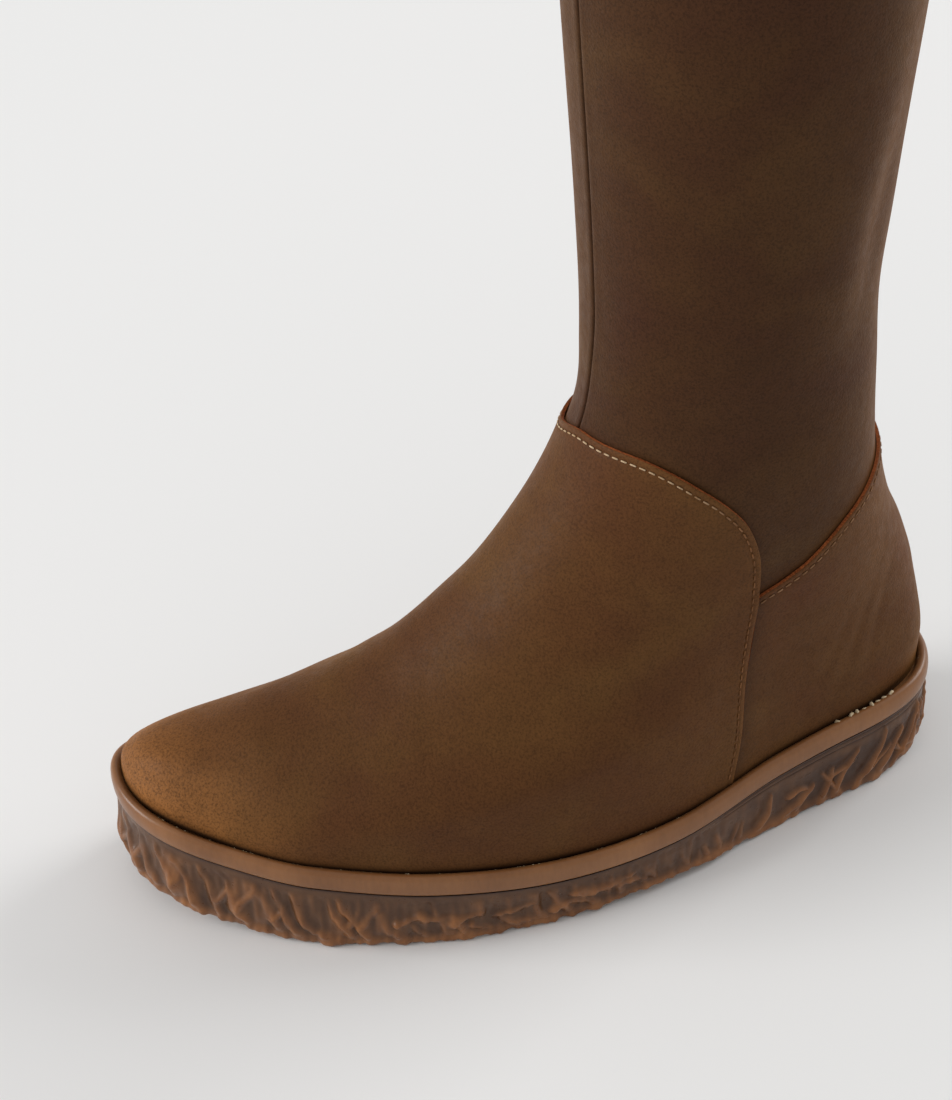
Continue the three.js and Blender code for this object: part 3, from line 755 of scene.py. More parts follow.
# The leg's columns: from the front seam in mm, round the back, from the zip's middle in mm, and at the front
NEAR_SEAM = np.array([-5, -3.6, -2.6, -1.9, -1.3, -.85, -.5, -.2, .2, .5, .85, 1.3, 1.9, 2.6, 3.6, 5])
BACK_COLUMNS = 106
NEAR_SLIT = CHAIN / 2 + GAP + np.array([6, 4.4, 3.5, 2.9, 2.4, 1.9, 1.4, .8, .3, 0])
FRONT_COLUMNS = 38
SLIT_COLUMNS = 4           # cells across the slit, in the leg and in the heel panel


def leg_angles(row):
    """Columns round the leg at a row: close together at the front seam and at the edges of the zip's slit."""
    seam = seam_angle(column(UPPER, "fz", row))
    near_seam = NEAR_SEAM / column(UPPER, "lateral", row)
    behind = zip_angle(row, NEAR_SLIT)
    before = zip_angle(row, -NEAR_SLIT[::-1])
    across = np.linspace(behind[-1], before[0], SLIT_COLUMNS + 1)[1:-1]
    start, end = seam + near_seam[-1], TURN + seam + near_seam[0]
    round_back = np.linspace(start, behind[0], BACK_COLUMNS + 2)[1:-1]
    round_front = np.linspace(before[-1], end, FRONT_COLUMNS + 2)[1:-1]
    return np.concatenate([seam + near_seam, round_back, behind, across, before, round_front])


def make_leg():
    """The leather leg with its lining, from inside the rim to the collar, slit for the zip."""
    rows = np.unique(np.concatenate([
        np.linspace(0, 5, 10),
        np.linspace(5, 8.5, 62),
        np.linspace(8.5, TOP, 140),
        TOP - np.array([0.012, 0.03, 0.06]),
        [SLIT_ROW],
    ]))
    angles = np.array([leg_angles(row) for row in rows])
    grid_rows = np.broadcast_to(rows[:, None], angles.shape)
    radius = column(UPPER, "lateral", grid_rows)
    height = skin(grid_rows, angles)[..., 2]
    seam = (angles - seam_angle(column(UPPER, "fz", grid_rows)) + math.pi) % TURN - math.pi
    seam = seam * radius
    slit = [zip_angle(rows, side * (CHAIN / 2 + GAP))[:, None] for side in (1, -1)]
    from_slit = np.minimum(np.abs(angles - slit[0]), np.abs(angles - slit[1])) * radius
    above_foot = smoothstep((height - ZIP_FOOT + 4) / 6)
    folds = leg_folds(grid_rows, angles)
    outward = (folds - 0.85 * bell(seam, 0.4) + 0.18 * bell(np.abs(seam) - 1.9, 1.3)
               - above_foot * (0.3 * bell(from_slit - STITCH_IN, 0.5) + 0.5 * np.exp(-from_slit / 0.35))
               - 0.3 * bell(COLLAR - height - COLLAR_GROOVE, 0.7) - 0.5 * np.exp((height - COLLAR) / 0.5))
    rolled_lip = [skin_at(grid_rows[-1], angles[-1], offset) + (0, 0, rise)
                  for offset, rise in ((-0.75, 0.35), (-1.1, 0.45), (-1.5, 0.35))]
    outer = np.concatenate([skin_at(grid_rows, angles, outward), rolled_lip])
    inner = skin_at(grid_rows, angles, folds - WALL)
    inner = np.concatenate([inner, [inner[-1]] * len(rolled_lip)])
    keep = np.ones((len(outer) - 1, angles.shape[1]), bool)
    slit_edge = len(NEAR_SEAM) + BACK_COLUMNS + len(NEAR_SLIT) - 1
    keep[np.searchsorted(rows, SLIT_ROW):, slit_edge:slit_edge + SLIT_COLUMNS] = False
    points, faces = thick_sheet(outer, inner, keep, wrap=True)
    lip = np.zeros((len(rolled_lip), angles.shape[1]))
    # painted shade in the front seam's groove, broken by its stitch pits
    seam_shade = 0.8 * bell(seam, 0.45) * (0.75 + 0.25 * np.sin(height * TURN / SEAM_STITCH))
    tan = 0.35 * np.exp(-from_slit / 1.2) * above_foot
    masks = {
        "dark": np.concatenate([seam_shade, lip, np.zeros(inner.shape[:2])]),
        "tan": np.concatenate([tan, lip + 0.5, np.zeros(inner.shape[:2])]),
    }
    build("leg_leather", points, faces, [LEATHER_LEG, LINING, RAW_EDGE], masks, "upper")


def edge_distance(points, edge):
    """Distance of each point of a grid from a line of points."""
    flat = points.reshape(-1, 3)
    found = np.empty(len(flat))
    for k in range(0, len(flat), 4000):
        gap = flat[k:k + 4000, None] - edge[None]
        found[k:k + 4000] = np.sqrt((gap ** 2).sum(-1)).min(1)
    return found.reshape(points.shape[:2])


def joint_shade(points):
    """Painted shade on the leather where a panel meets the rim band."""
    above = points[..., 2] - rim_top(points[..., 1]) + 0.4
    return np.minimum(1, 1.3 * np.exp(-np.maximum(above, 0) / 1.1))


NEAR_EDGE = np.array([0, .25, .6, 1.1, 1.6, 2.1, 2.6, 3.1, 3.8, 5, 7])   # rows of a panel, back from its edge


def panel_rows(low, middle, high, angles, below, above):
    """Rows of a panel's grid: a stretch below the middle, one above it, and close ones at the edge."""
    length = np.linalg.norm(skin(high, angles) - skin(middle, angles), axis=-1)
    near = NEAR_EDGE[None] * np.minimum(1, 0.55 * length / NEAR_EDGE[-1])[:, None] / length[:, None]
    upper = np.array([np.concatenate([np.linspace(0, 1 - n[-1], above)[:-1], 1 - n[::-1]]) for n in near]).T
    lower = np.linspace(0, 1, below)[:-1, None]
    return np.concatenate([low + (middle - low) * lower, middle + (high - middle) * upper])


def pale_at_front(points):
    """Threads are palest over the instep and tan down the sides."""
    return smoothstep((points[:, 2] - 118) / 30) * smoothstep((62 - points[:, 1]) / 40)


def sew(name, rows, angles, lift, tone=None):
    """A run of stitches on the upper, of one tone, or palest at the front where none is given."""
    centre, along, out = along_surface(rows, angles, lift, PITCH)
    points, faces = bars(centre, along, out, 1.0, THREAD_RADIUS, 0.8)
    pale = pale_at_front(centre) if tone is None else np.full(len(centre), tone)
    build(name, points, faces, [THREAD], {"pale": np.repeat(pale, len(points) // len(centre))}, crease=80)


def stitch_groove(distance):
    """Depth pressed into the leather along a line of stitches, by the distance from the panel's edge."""
    return 0.28 * bell(distance - STITCH_IN, 0.55)


def overlap_rise(points):
    """How far the vamp rises where it lies over the heel panel."""
    return OVERLAP_RISE * smoothstep((104 - points[..., 2]) / 6)


def vamp_columns():
    """The vamp's side edge, each column's share of the way to it, and each column's top row."""
    side = front_edge(VAMP_LINE, CORNER_ROW)
    half = np.sin(np.linspace(0, math.pi / 2, 100))
    share = np.concatenate([-half[:0:-1], half])
    high = rows_under(VAMP_LINE, lambda rows: side(rows)[:, None] * share[None], CORNER_ROW - 0.5, 9)
    inner_side = smoothstep((DROP_START - side(high) * share) / DROP_TURN)
    high = CORNER_ROW + (high - CORNER_ROW) * (1 - INNER_DROP * inner_side)
    high[0] = high[-1] = CORNER_ROW
    return side, share, high


def make_vamp():
    """The front panel, over the toes and instep, its cut edge lying on the leg and the heel panel."""
    side, share, high = vamp_columns()
    low = np.full(len(share), PANEL_FOOT)
    rows = panel_rows(low, low + 0.4 * (high - low), high, side(high) * share, 30, 62)
    grid = side(rows) * share
    base = skin_at(rows, grid, FACE)
    distance = edge_distance(base, np.concatenate([base[-1], base[:, 0], base[:, -1]]))
    over_heel = overlap_rise(base) * smoothstep(1 - distance / 9)
    filled = BEND_FILL * bell(rows - CORNER_ROW, 0.38) * smoothstep(np.cos(grid) / 0.7)
    outward = (FACE + over_heel + filled + vamp_relief(base) - stitch_groove(distance)
               - 0.35 * np.exp(-distance / 0.3))
    points, faces = thick_sheet(skin_at(rows, grid, outward), skin_at(rows, grid, GAP + over_heel))
    rubbed_toe = 1.1 * smoothstep((-76 - base[..., 1]) / 60) * smoothstep((71 - base[..., 2]) / 26)
    edge_wear = 0.2 * np.exp(-distance / 1.2)
    masks = {
        "tan": outside_only(np.maximum(rubbed_toe, edge_wear)),
        "dark": outside_only(joint_shade(base)),
    }
    build("vamp_leather", points, faces, [LEATHER_VAMP, LEATHER_VAMP, RAW_EDGE], masks,
          "vamp")
    sew_vamp(side, share, high)


def sew_vamp(side, share, high):
    """One row of stitches round the vamp's cut edge, up one side, over the instep and down the other."""
    up = np.linspace(1.1, CORNER_ROW, 60)[:-1]
    edge_rows = np.concatenate([up, high[::-1], up[::-1]])
    edge_angles = np.concatenate([side(up), (side(high) * share)[::-1], -side(up[::-1])])
    line_rows, line_angles = inset_line(edge_rows, edge_angles, STITCH_IN)
    rise = overlap_rise(skin(line_rows, line_angles)) * 0.8
    sew("vamp_stitches", line_rows, line_angles, FACE + 0.02 + rise)


def vamp_relief(points):
    """The vamp's own unevenness: a slight toe puff edge and shallow flex lines across the ball."""
    x, y, z = points[..., 0], points[..., 1], points[..., 2]
    relief = 0.35 * bell(y + 92 + 0.12 * x, 9) * smoothstep((z - 45) / 14)
    for place, depth in ((-62, 0.2), (-50, 0.14), (-36, 0.18)):
        relief -= depth * bell(y - place + 0.25 * (x - 8), 5.5) * smoothstep((z - 44) / 18)
    relief -= 0.2 * bell(y - 6, 16) * bell(z - 118, 16)
    return relief


def heel_columns():
    """The heel panel's front edge, its columns' angles at a row, their top rows, and the slot's first one."""
    side = front_edge(VAMP_LINE + (GAP, 0), HEEL_CORNER_ROW)
    to_back = 1 - np.cos(np.linspace(0, math.pi / 2, 76))
    to_slot = np.sin(np.linspace(0, math.pi / 2, 44))[1:]
    in_slot = np.linspace(0, 1, SLIT_COLUMNS + 1)[1:]
    to_front = (1 - np.cos(np.linspace(0, math.pi, 42)))[1:] / 2
    stretches = (to_back, to_slot, in_slot, to_front)
    part = np.repeat(range(len(stretches)), [len(stretch) for stretch in stretches])
    share = np.concatenate(stretches)

    def angle_of(rows):
        """Angles of every column: from the vamp round the heel to the slot, across it, and on to the vamp."""
        rows = np.broadcast_to(rows if np.ndim(rows) == 2 else rows[:, None], (len(rows), len(share)))
        stops = [side(rows), np.full(rows.shape, math.pi), zip_angle(rows, SLOT), zip_angle(rows, -SLOT),
                 TURN - side(rows)]
        start, end = (np.choose(part + k, stops) for k in (0, 1))
        return start + (end - start) * share

    high = rows_under(spline(COUNTER_TOP, 60), angle_of, 3.2, 9)
    high[0], high[-1] = high[1], high[-2]
    return side, angle_of, high, len(to_back) + len(to_slot) - 1


def make_heel_panel():
    """The panel round the heel, under the vamp's edge at the front, cut away along the zip."""
    side, angle_of, high, first = heel_columns()
    last = first + SLIT_COLUMNS
    top_angles = angle_of(high[None])[0]
    low = np.full(len(high), PANEL_FOOT)
    middle = np.clip(SLIT_ROW, low + 0.3 * (high - low), low + 0.7 * (high - low))
    below = 24
    rows = panel_rows(low, middle, high, top_angles, below, 40)
    grid = angle_of(rows)
    base = skin_at(rows, grid, FACE)
    distance = edge_distance(base, base[-1])
    foot = below - 1
    from_slot = edge_distance(base, np.concatenate([base[foot:, first], base[foot:, last]]))
    outward = (FACE + heel_relief(base) - stitch_groove(distance) - 0.3 * np.exp(-distance / 0.3)
               - 0.2 * bell(from_slot - 2.2, 0.5))
    keep = np.ones((rows.shape[0] - 1, rows.shape[1] - 1), bool)
    keep[foot:, first:last] = False
    points, faces = thick_sheet(skin_at(rows, grid, outward), skin_at(rows, grid, GAP), keep)
    edge_wear = np.maximum(0.25 * np.exp(-distance / 1.2), 0.4 * np.exp(-from_slot / 1.2))
    from_vamp = np.minimum(np.abs(grid - side(rows)), np.abs(TURN - side(rows) - grid)) * 45
    shadow = np.maximum(joint_shade(base), 0.5 * np.exp(-from_vamp / 1.5))
    masks = {"tan": outside_only(edge_wear), "dark": outside_only(shadow)}
    build("heel_leather", points, faces, [LEATHER_HEEL, LEATHER_HEEL, RAW_EDGE], masks,
          "heel_counter")
    sew_heel(high, top_angles, first, last)


def sew_heel(high, angles, first, last):
    """Stitches under the heel panel's top edge, on both sides of the slot."""
    for name, run, way in (("heel_stitches_back", slice(0, first + 1), 1),
                           ("heel_stitches_front", slice(last, None), -1)):
        line_rows, line_angles = inset_line(high[run], angles[run], -STITCH_IN)
        clear = way * line_angles < way * zip_angle(line_rows, way * (SLOT + 1.5))
        sew(name, line_rows[clear], line_angles[clear], FACE + 0.02, 0.15)


def heel_relief(points):
    """Faint standing creases low on the heel panel, and the stiffener's soft upper edge."""
    y, z = points[..., 1], points[..., 2]
    relief = 0.25 * bell(z - 78 + 0.1 * (y - 90), 7)
    for place, lean, depth in ((98, 0.35, 0.35), (107, 0.3, 0.3), (89, 0.5, 0.2)):
        relief -= depth * bell(y - place - lean * (z - 60), 2.6) * bell(z - 62, 22)
    return relief


# ---- the sole ----

def make_rim_band():
    """The smooth rolled band round the foot."""
    # its cross-section: how far in from the sole's edge, and how far below the rim
    profile = [
        (6.2, 5.0), (6.2, 2.6), (4.3, 2.2), (3.85, 1.3), (3.6, 0.75), (3.2, 0.45), (2.75, 0.2), (2.2, 0.0),
        (1.6, 0.1), (1.05, 0.45), (0.6, 1.0), (0.3, 1.7), (0.1, 2.6), (0.0, 3.6), (0.0, 4.6), (0.05, 5.6),
        (0.2, 6.5), (0.5, 7.2), (0.95, 7.65), (1.5, 7.9), (2.2, 8.0), (6.2, 8.0),
    ]
    angles, _ = even_angles(640)
    loops = []
    for inset, below in profile:
        p = sole_edge(angles, inset)
        z = rim_top(np.clip(p[:, 1], -HALF, HALF)) - below
        loops.append(np.column_stack([p, z]))
    insets, depths = np.repeat(profile, len(angles), axis=0).T
    # dust where the band meets the leather, and painted shade along its lower edge
    masks = {"joint": np.clip((insets - 2.6) / 1.0, 0, 1), "painted_shade": np.clip((depths - 7.6) / 0.4, 0, 1)}
    build("rim_band", np.array(loops), [ring(len(profile), len(angles))], [RIM_RUBBER], masks,
          "midsole")


def waves(points, size, seed):
    """Smooth waviness in space, mostly between -1 and 1, with features of about that size in mm."""
    rng = np.random.default_rng(seed)
    total = np.zeros(points.shape[:-1])
    for _ in range(6):
        way = unit(rng.normal(size=3)) * TURN / (size * rng.uniform(1.0, 2.6))
        total += np.sin(points @ way + rng.uniform(0, TURN))
    return total / 3


def root(at, way, start, end, bend, radius, proud):
    """One root from foot to tip: points along the wall, share of its height, radius, and how proud."""
    u = np.linspace(0, 1, 7)
    along = at + way * (start[0] + (end[0] - start[0]) * u + bend * np.sin(math.pi * u))
    up = start[1] + (end[1] - start[1]) * u
    return np.column_stack([along, up, radius[0] + (radius[1] - radius[0]) * u,
                            proud[0] + (proud[1] - proud[0]) * u])


def toe_roots(at, way, rng):
    """Ridges that lean toward the toe, thick at the foot, some of them forked."""
    lean, tip = rng.uniform(-11, -5), rng.uniform(0.62, 0.97)
    roots = [root(at, way, (0, 0), (lean, tip), rng.uniform(-1.6, 1.6), (rng.uniform(2.2, 3.4), 1.1),
                  (rng.uniform(1.7, 2.5), 0.5))]
    if rng.random() < 0.45:
        roots.append(root(at, way, (lean * 0.35, tip * 0.4), (lean * 0.3 + rng.uniform(3, 6), tip * 0.8), 0.6,
                          (1.7, 0.9), (1.5, 0.5)))
    return roots, rng.uniform(6.0, 9.5)


def ball_roots(at, way, rng):
    """Low knots and branches that run along the wall."""
    up, rise = rng.uniform(0.15, 0.6), rng.uniform(-0.28, 0.22)
    roots = [root(at, way, (0, up), (rng.uniform(7, 13), np.clip(up + rise, 0.05, 0.8)),
                  rng.uniform(-1.5, 1.5), (rng.uniform(1.5, 2.4), 1.0), (rng.uniform(1.2, 2.0), 0.6))]
    roots.append(root(at, way, (0, 0), (rng.uniform(-8, -2), rng.uniform(0.3, 0.75)), rng.uniform(-1, 1),
                      (rng.uniform(1.8, 2.6), 1.0), (1.7, 0.6)))
    return roots, rng.uniform(6.0, 9.0)


def waist_roots(at, way, rng):
    """Short upright ribs at the foot of the wall."""
    roots = [root(at, way, (0, 0), (rng.uniform(-3, 1), rng.uniform(0.32, 0.58)), rng.uniform(-0.5, 0.5),
                  (rng.uniform(1.4, 2.0), 0.8), (rng.uniform(1.0, 1.6), 0.4))]
    return roots, rng.uniform(4.0, 6.5)


def heel_roots(at, way, rng):
    """Proud twigs that cross each other."""
    roots = [root(at, way, (0, 0), (rng.uniform(4, 17), rng.uniform(0.4, 0.82)), rng.uniform(-2, 2),
                  (rng.uniform(1.2, 1.8), 0.9), (2.3, 1.2))]
    if rng.random() < 0.65:
        roots.append(root(at, way, (rng.uniform(5, 9), 0.02), (rng.uniform(-4, 4), rng.uniform(0.35, 0.75)),
                          rng.uniform(-1.5, 1.5), (1.3, 0.8), (1.9, 1.1)))
    if rng.random() < 0.5:
        up = rng.uniform(0.15, 0.5)
        roots.append(root(at, way, (-3, up), (rng.uniform(3, 9), up + rng.uniform(-0.15, 0.2)), 0.6,
                          (1.2, 0.8), (1.6, 1.0)))
    return roots, rng.uniform(5.5, 11.5)


def all_roots(length):
    """Every root of the tread wall, by the part of the foot that it stands at."""
    rng = np.random.default_rng(23)
    found = []
    at = 2.0
    while at < length - 3:
        half = min(at, length - at) / (length / 2)
        way = 1 if at < length / 2 else -1
        kinds = ((0.33, toe_roots), (0.56, ball_roots), (0.73, waist_roots), (1.01, heel_roots))
        make = next(kind for limit, kind in kinds if half < limit)
        roots, step = make(at, way, rng)
        found += roots
        at += step
    return found


def root_height(along, up, tall, bend, length):
    """How far the roots stand out of the wall at each point of its grid, in mm."""
    relief = np.zeros(up.shape)
    for points in all_roots(length):
        centre = points[:, 0].mean()
        away = (along[0] - centre + length / 2) % length - length / 2
        near = np.nonzero(np.abs(away) < 22)[0]
        x = away[near][None] + centre + bend[0][:, near]
        y = up[:, near] * tall[:, near] + bend[1][:, near]
        height = tall[:, near]
        best = np.zeros(x.shape)
        for (x0, u0, r0, h0), (x1, u1, r1, h1) in zip(points[:-1], points[1:]):
            y0, run = u0 * height, (x1 - x0, (u1 - u0) * height)
            t = np.clip(((x - x0) * run[0] + (y - y0) * run[1]) / (run[0] ** 2 + run[1] ** 2 + 1e-9), 0, 1)
            gap = np.hypot(x - x0 - t * run[0], y - y0 - t * run[1]) / (r0 + (r1 - r0) * t)
            best = np.maximum(best, (h0 + (h1 - h0) * t) * np.exp(-1.1 * np.abs(gap) ** 2.6))
        old = relief[:, near]
        relief[:, near] = np.maximum(old, best) + 0.25 * np.minimum(old, best)
    return relief


def make_tread_wall():
    """The wall of the tread, covered with roots, with moulded lines under the band from waist to heel."""
    angles, length = even_angles(1500)
    up = np.concatenate([np.linspace(0, 0.9, 44), [0.925, 0.95, 0.97, 0.985, 1.0]])[:, None]
    along = (np.arange(len(angles)) / len(angles) * length)[None] + 0 * up
    plan = sole_edge(angles)
    y = np.clip(plan[:, 1], -HALF, HALF)
    foot = ground(y) + LIP
    tall = (rim_top(y) - BAND - 0.5 - foot)[None] + 0 * up
    up = up + 0 * along
    spot = np.dstack([*(np.broadcast_to(plan[:, i], up.shape) for i in range(2)), up * tall])
    bend = [1.1 * waves(spot, 8, 1), 0.9 * waves(spot, 7, 2)]
    roots = root_height(along, up, tall, bend, length)
    # the wall swells low down, most of all toward the toe
    bulge = (0.5 + 1.6 * smoothstep((-10 - y) / 60)[None]) * bell(up - 0.28, 0.34)
    bark = 0.36 * waves(spot * (1, 1, 0.5), 2.8, 3) + 0.4 * waves(spot, 9, 4)
    fade = 1 - smoothstep((up - 0.8) / 0.12)
    # two moulded lines under the band, and a roll along the foot
    line = smoothstep((y - 38) / 14)[None] * (1 - smoothstep((y - 132) / 6))[None]
    grooves = line * (bell(up - 0.955, 0.012) + 0.8 * bell(up - 0.88, 0.012))
    rooted = roots * (0.4 + 0.6 * smoothstep((up - 0.02) / 0.2))
    hem = (1.5 + 0.35 * waves(spot, 11, 5)) * bell(up - 0.03, 0.1)
    rooted = np.maximum(rooted, hem) + 0.3 * np.minimum(rooted, hem)
    out = (rooted + bark * (1 - 0.8 * line)) * fade + bulge * (1 - smoothstep((up - 0.85) / 0.15))
    out = out - 0.45 * grooves
    inset = WALL_FOOT + (WALL_TOP + 0.3 - WALL_FOOT) * np.minimum(1, 1.4 * up) - out
    standing = np.clip(roots / 1.4, 0, 1)
    level = foot[None] + tall * up - 0.7 * LIP * bell(up, 0.08) * (0.4 + 0.6 * standing)
    rows = [np.column_stack([sole_edge(angles, inset[k]), level[k]]) for k in range(len(up))]
    lid = np.column_stack([sole_edge(angles, 7.0), foot + tall[0]])
    under = np.column_stack([sole_edge(angles, 8.5), foot + 0.4])
    grid = np.array(rows + [lid, under])
    blank = np.zeros((2, len(angles)))
    # painted shade: darker in the lines, under the band, between the twigs of the heel and in low bark, and
    # in the hollows that the ridge mask leaves
    well = smoothstep((y - 60) / 30)[None] * np.clip(1 - roots / 0.8, 0, 1)
    well = well * (1 - smoothstep((up - 0.7) / 0.1))
    ridge = np.concatenate([np.clip((out - bulge) / 1.5, 0, 1), blank])
    dark = 0.9 * bell(up - 1, 0.03) + 0.8 * grooves + 0.45 * well + 0.15 * np.clip(0.4 - bark, 0, 1) * fade
    dark = np.concatenate([np.clip(dark, 0, 1), blank])
    build("tread_wall", grid, [ring(len(grid), len(angles))], [TREAD_RUBBER],
          {"ridge": ridge, "painted_shade": dark}, "outsole", crease=70)


def make_tread_lugs():
    """The underside: wavy bars across a recessed bed, inside a shallow lip."""
    across, along = 56, 420
    v = np.linspace(0.012, 1 - 0.012, along)
    y = -HALF * np.cos(v * math.pi)
    y = np.clip(y, -HALF + WALL_FOOT + 0.5, HALF - WALL_FOOT - 0.5)
    share = rounded(y + HALF, TOE_ROUND, SOLE_POWER) * rounded(HALF - y, HEEL_ROUND, SOLE_POWER)
    centre = column(SOLE, "centre", y)
    sides = [centre + (column(SOLE, name, y) - centre) * share for name in ("medial", "lateral")]
    left, right = sides[0] + WALL_FOOT + 0.6, sides[1] - WALL_FOOT - 0.6
    middle = (left + right) / 2
    left, right = np.minimum(left, middle - 0.4), np.maximum(right, middle + 0.4)
    u = np.linspace(0, 1, across)[None]
    x = left[:, None] + (right - left)[:, None] * u
    yy = np.broadcast_to(y[:, None], x.shape)
    wave = (yy + 3 * np.sin(x / 9 + yy / 20) + BAR_START) / BAR_PITCH
    off_bar = np.abs(wave - np.round(wave)) * BAR_PITCH
    bar = 1 - smoothstep((off_bar - BAR_HALF) / 1.2)
    inside = np.minimum(x - left[:, None], right[:, None] - x)
    lip = 1 - smoothstep((inside - 5) / 1.5)
    flat = ground(yy)
    bed = flat + TREAD - (TREAD - LIP) * lip
    z = bed + (flat - bed) * bar * smoothstep(inside / 1.5)
    z += 0.25 * np.sin(x / 2.3) * np.sin(yy / 2.9) * (1 - bar) * (1 - lip)
    bottom = np.dstack([x, yy, z])
    top = np.dstack([x, yy, flat + 7])
    points, faces = thick_sheet(bottom, top)
    # painted shade: the recessed bed between the bars takes the darker hollow colour
    build("tread_lugs", points, faces, [TREAD_RUBBER], {"ridge": outside_only(bar)})


def make_crumbs():
    """A few pale crumbs caught on the rim at the heel, and fine dust along the joint at the toe."""
    rng = np.random.default_rng(5)
    spots = [(a, 3.0, s) for a, s in zip(rng.normal(2.45, 0.1, 9), rng.uniform(0.6, 1.15, 9))]
    spots += [(a, 3.5, s) for a, s in zip(rng.uniform(0.35, 1.9, 46), rng.uniform(0.1, 0.22, 46))]
    angles, insets, sizes = np.array(spots).T
    p = sole_edge(angles, insets)
    centres = np.column_stack([p, rim_top(p[:, 1]) - 0.35 - 0.1 * insets])
    along = unit(rng.normal(size=(len(centres), 3)))
    out = np.tile([0.0, 0.0, 1.0], (len(centres), 1))
    points, faces = bars(centres, along, out, sizes * 1.1, sizes * 0.75)
    build("dust_crumbs", points, faces, [CRUMB], crease=80)


# ---- the zip ----

def make_zip_tape():
    """The tape behind the slit."""
    foot = row_at_height(ZIP_FOOT - TAPE_BELOW, zip_middle)
    rows = np.linspace(foot, ZIP_TOP_ROW, 160)
    across = np.linspace(TAPE / 2, -TAPE / 2, 13)
    angles = np.array([zip_angle(row, across) for row in rows])
    grid = np.broadcast_to(rows[:, None], angles.shape)
    folds = leg_folds(grid, angles)
    outer = skin_at(grid, angles, folds - WALL - GAP)
    inner = skin_at(grid, angles, folds - WALL - GAP - TAPE_THICK)
    points, faces = thick_sheet(outer, inner)
    build("zip_tape", points, faces, [TAPE_CLOTH], stands_for="zip")


def make_zip_teeth():
    """Two rows of coil teeth, half a pitch apart."""
    rows = np.linspace(SLIT_ROW + 0.03, ZIP_TOP_ROW, 400)
    coils = []
    for side, shift in ((1, 0.0), (-1, 0.5)):
        line = zip_angle(rows, side * TOOTH_OUT)
        centre, along, out = along_surface(rows, line, leg_folds(rows, line) - TOOTH_IN, TOOTH_PITCH)
        centre = centre + along * shift * TOOTH_PITCH
        coils.append(bars(centre, np.cross(out, along), out, 1.5, 0.66, 1.15))
    (points, faces), (more_points, more_faces) = coils
    faces = faces + [group + len(points) for group in more_faces]
    build("zip_teeth", np.concatenate([points, more_points]), faces, [TEETH], crease=80)


def make_zip_stitches():
    """Stitches down both sides of the slit, each line ending at a height above the heel panel."""
    rows = np.linspace(SLIT_ROW + 0.12, TOP - 0.05, 500)
    for name, side, foot in (("zip_stitches_back", 1, 117), ("zip_stitches_front", -1, 100)):
        line = zip_angle(rows, side * (CHAIN / 2 + GAP + STITCH_IN))
        above = skin(rows, line)[:, 2] >= foot
        sew(name, rows[above], line[above], leg_folds(rows[above], line[above]) + 0.02, 0.1)


def slider_frame():
    """The place of the slider on the leather, and its axes: along the boot, up the zip, and straight out."""
    row = row_at_height(SLIDER_HEIGHT, zip_middle)
    below = row_at_height(SLIDER_HEIGHT - 20, zip_middle)
    angle = float(zip_middle(row))
    here = skin_at(row, angle)
    up = unit(here - skin_at(below, float(zip_middle(below))))
    along = unit(np.cross(up, skin_normal(row, angle)))
    return here, along, up, unit(np.cross(along, up))


def plate(outline, thick, hole=None):
    """Bevelled plate in local X and Y, centred on Z, as a temporary bmesh."""
    edit = bmesh.new()
    loops = [outline] + ([hole] if hole is not None else [])
    edges = []
    for loop in loops:
        verts = [edit.verts.new((x, y, -thick / 2)) for x, y in loop]
        edges += [edit.edges.new((a, b)) for a, b in zip(verts, verts[1:] + verts[:1])]
    filled = bmesh.ops.triangle_fill(edit, edges=edges, use_beauty=True)
    faces = [f for f in filled["geom"] if isinstance(f, bmesh.types.BMFace)]
    raised = bmesh.ops.extrude_face_region(edit, geom=faces)
    moved = [v for v in raised["geom"] if isinstance(v, bmesh.types.BMVert)]
    bmesh.ops.translate(edit, verts=moved, vec=(0, 0, thick))
    bmesh.ops.recalc_face_normals(edit, faces=edit.faces)
    sharp = [e for e in edit.edges if e.is_manifold and e.calc_face_angle() > 1.0]
    bmesh.ops.bevel(edit, geom=sharp, offset=0.22 * thick, segments=3, affect="EDGES", profile=0.6)
    return edit


def circle(radius, count):
    return [(radius * math.cos(a), radius * math.sin(a)) for a in np.linspace(0, TURN, count + 1)[:-1]]


def round_rect(width, height, radius, y=0.0):
    """Outline with rounded corners, its middle at a height of y."""
    steps = 6
    corners = [(1, 1, 0), (-1, 1, 90), (-1, -1, 180), (1, -1, 270)]
    return [(sx * (width / 2 - radius) + radius * math.cos(math.radians(start + 90 * k / steps)),
             y + sy * (height / 2 - radius) + radius * math.sin(math.radians(start + 90 * k / steps)))
            for sx, sy, start in corners for k in range(steps + 1)]


def rod(radius, length):
    """Cylinder along X with bevelled ends, as a temporary bmesh."""
    edit = bmesh.new()
    bmesh.ops.create_cone(edit, cap_ends=True, segments=20, radius1=radius, radius2=radius, depth=length)
    bmesh.ops.rotate(edit, verts=edit.verts, matrix=Matrix.Rotation(math.pi / 2, 3, "Y"))
    ends = [e for e in edit.edges if e.calc_face_angle() > 1.0]
    bmesh.ops.bevel(edit, geom=ends, offset=0.2 * radius, segments=2, affect="EDGES")
    return edit


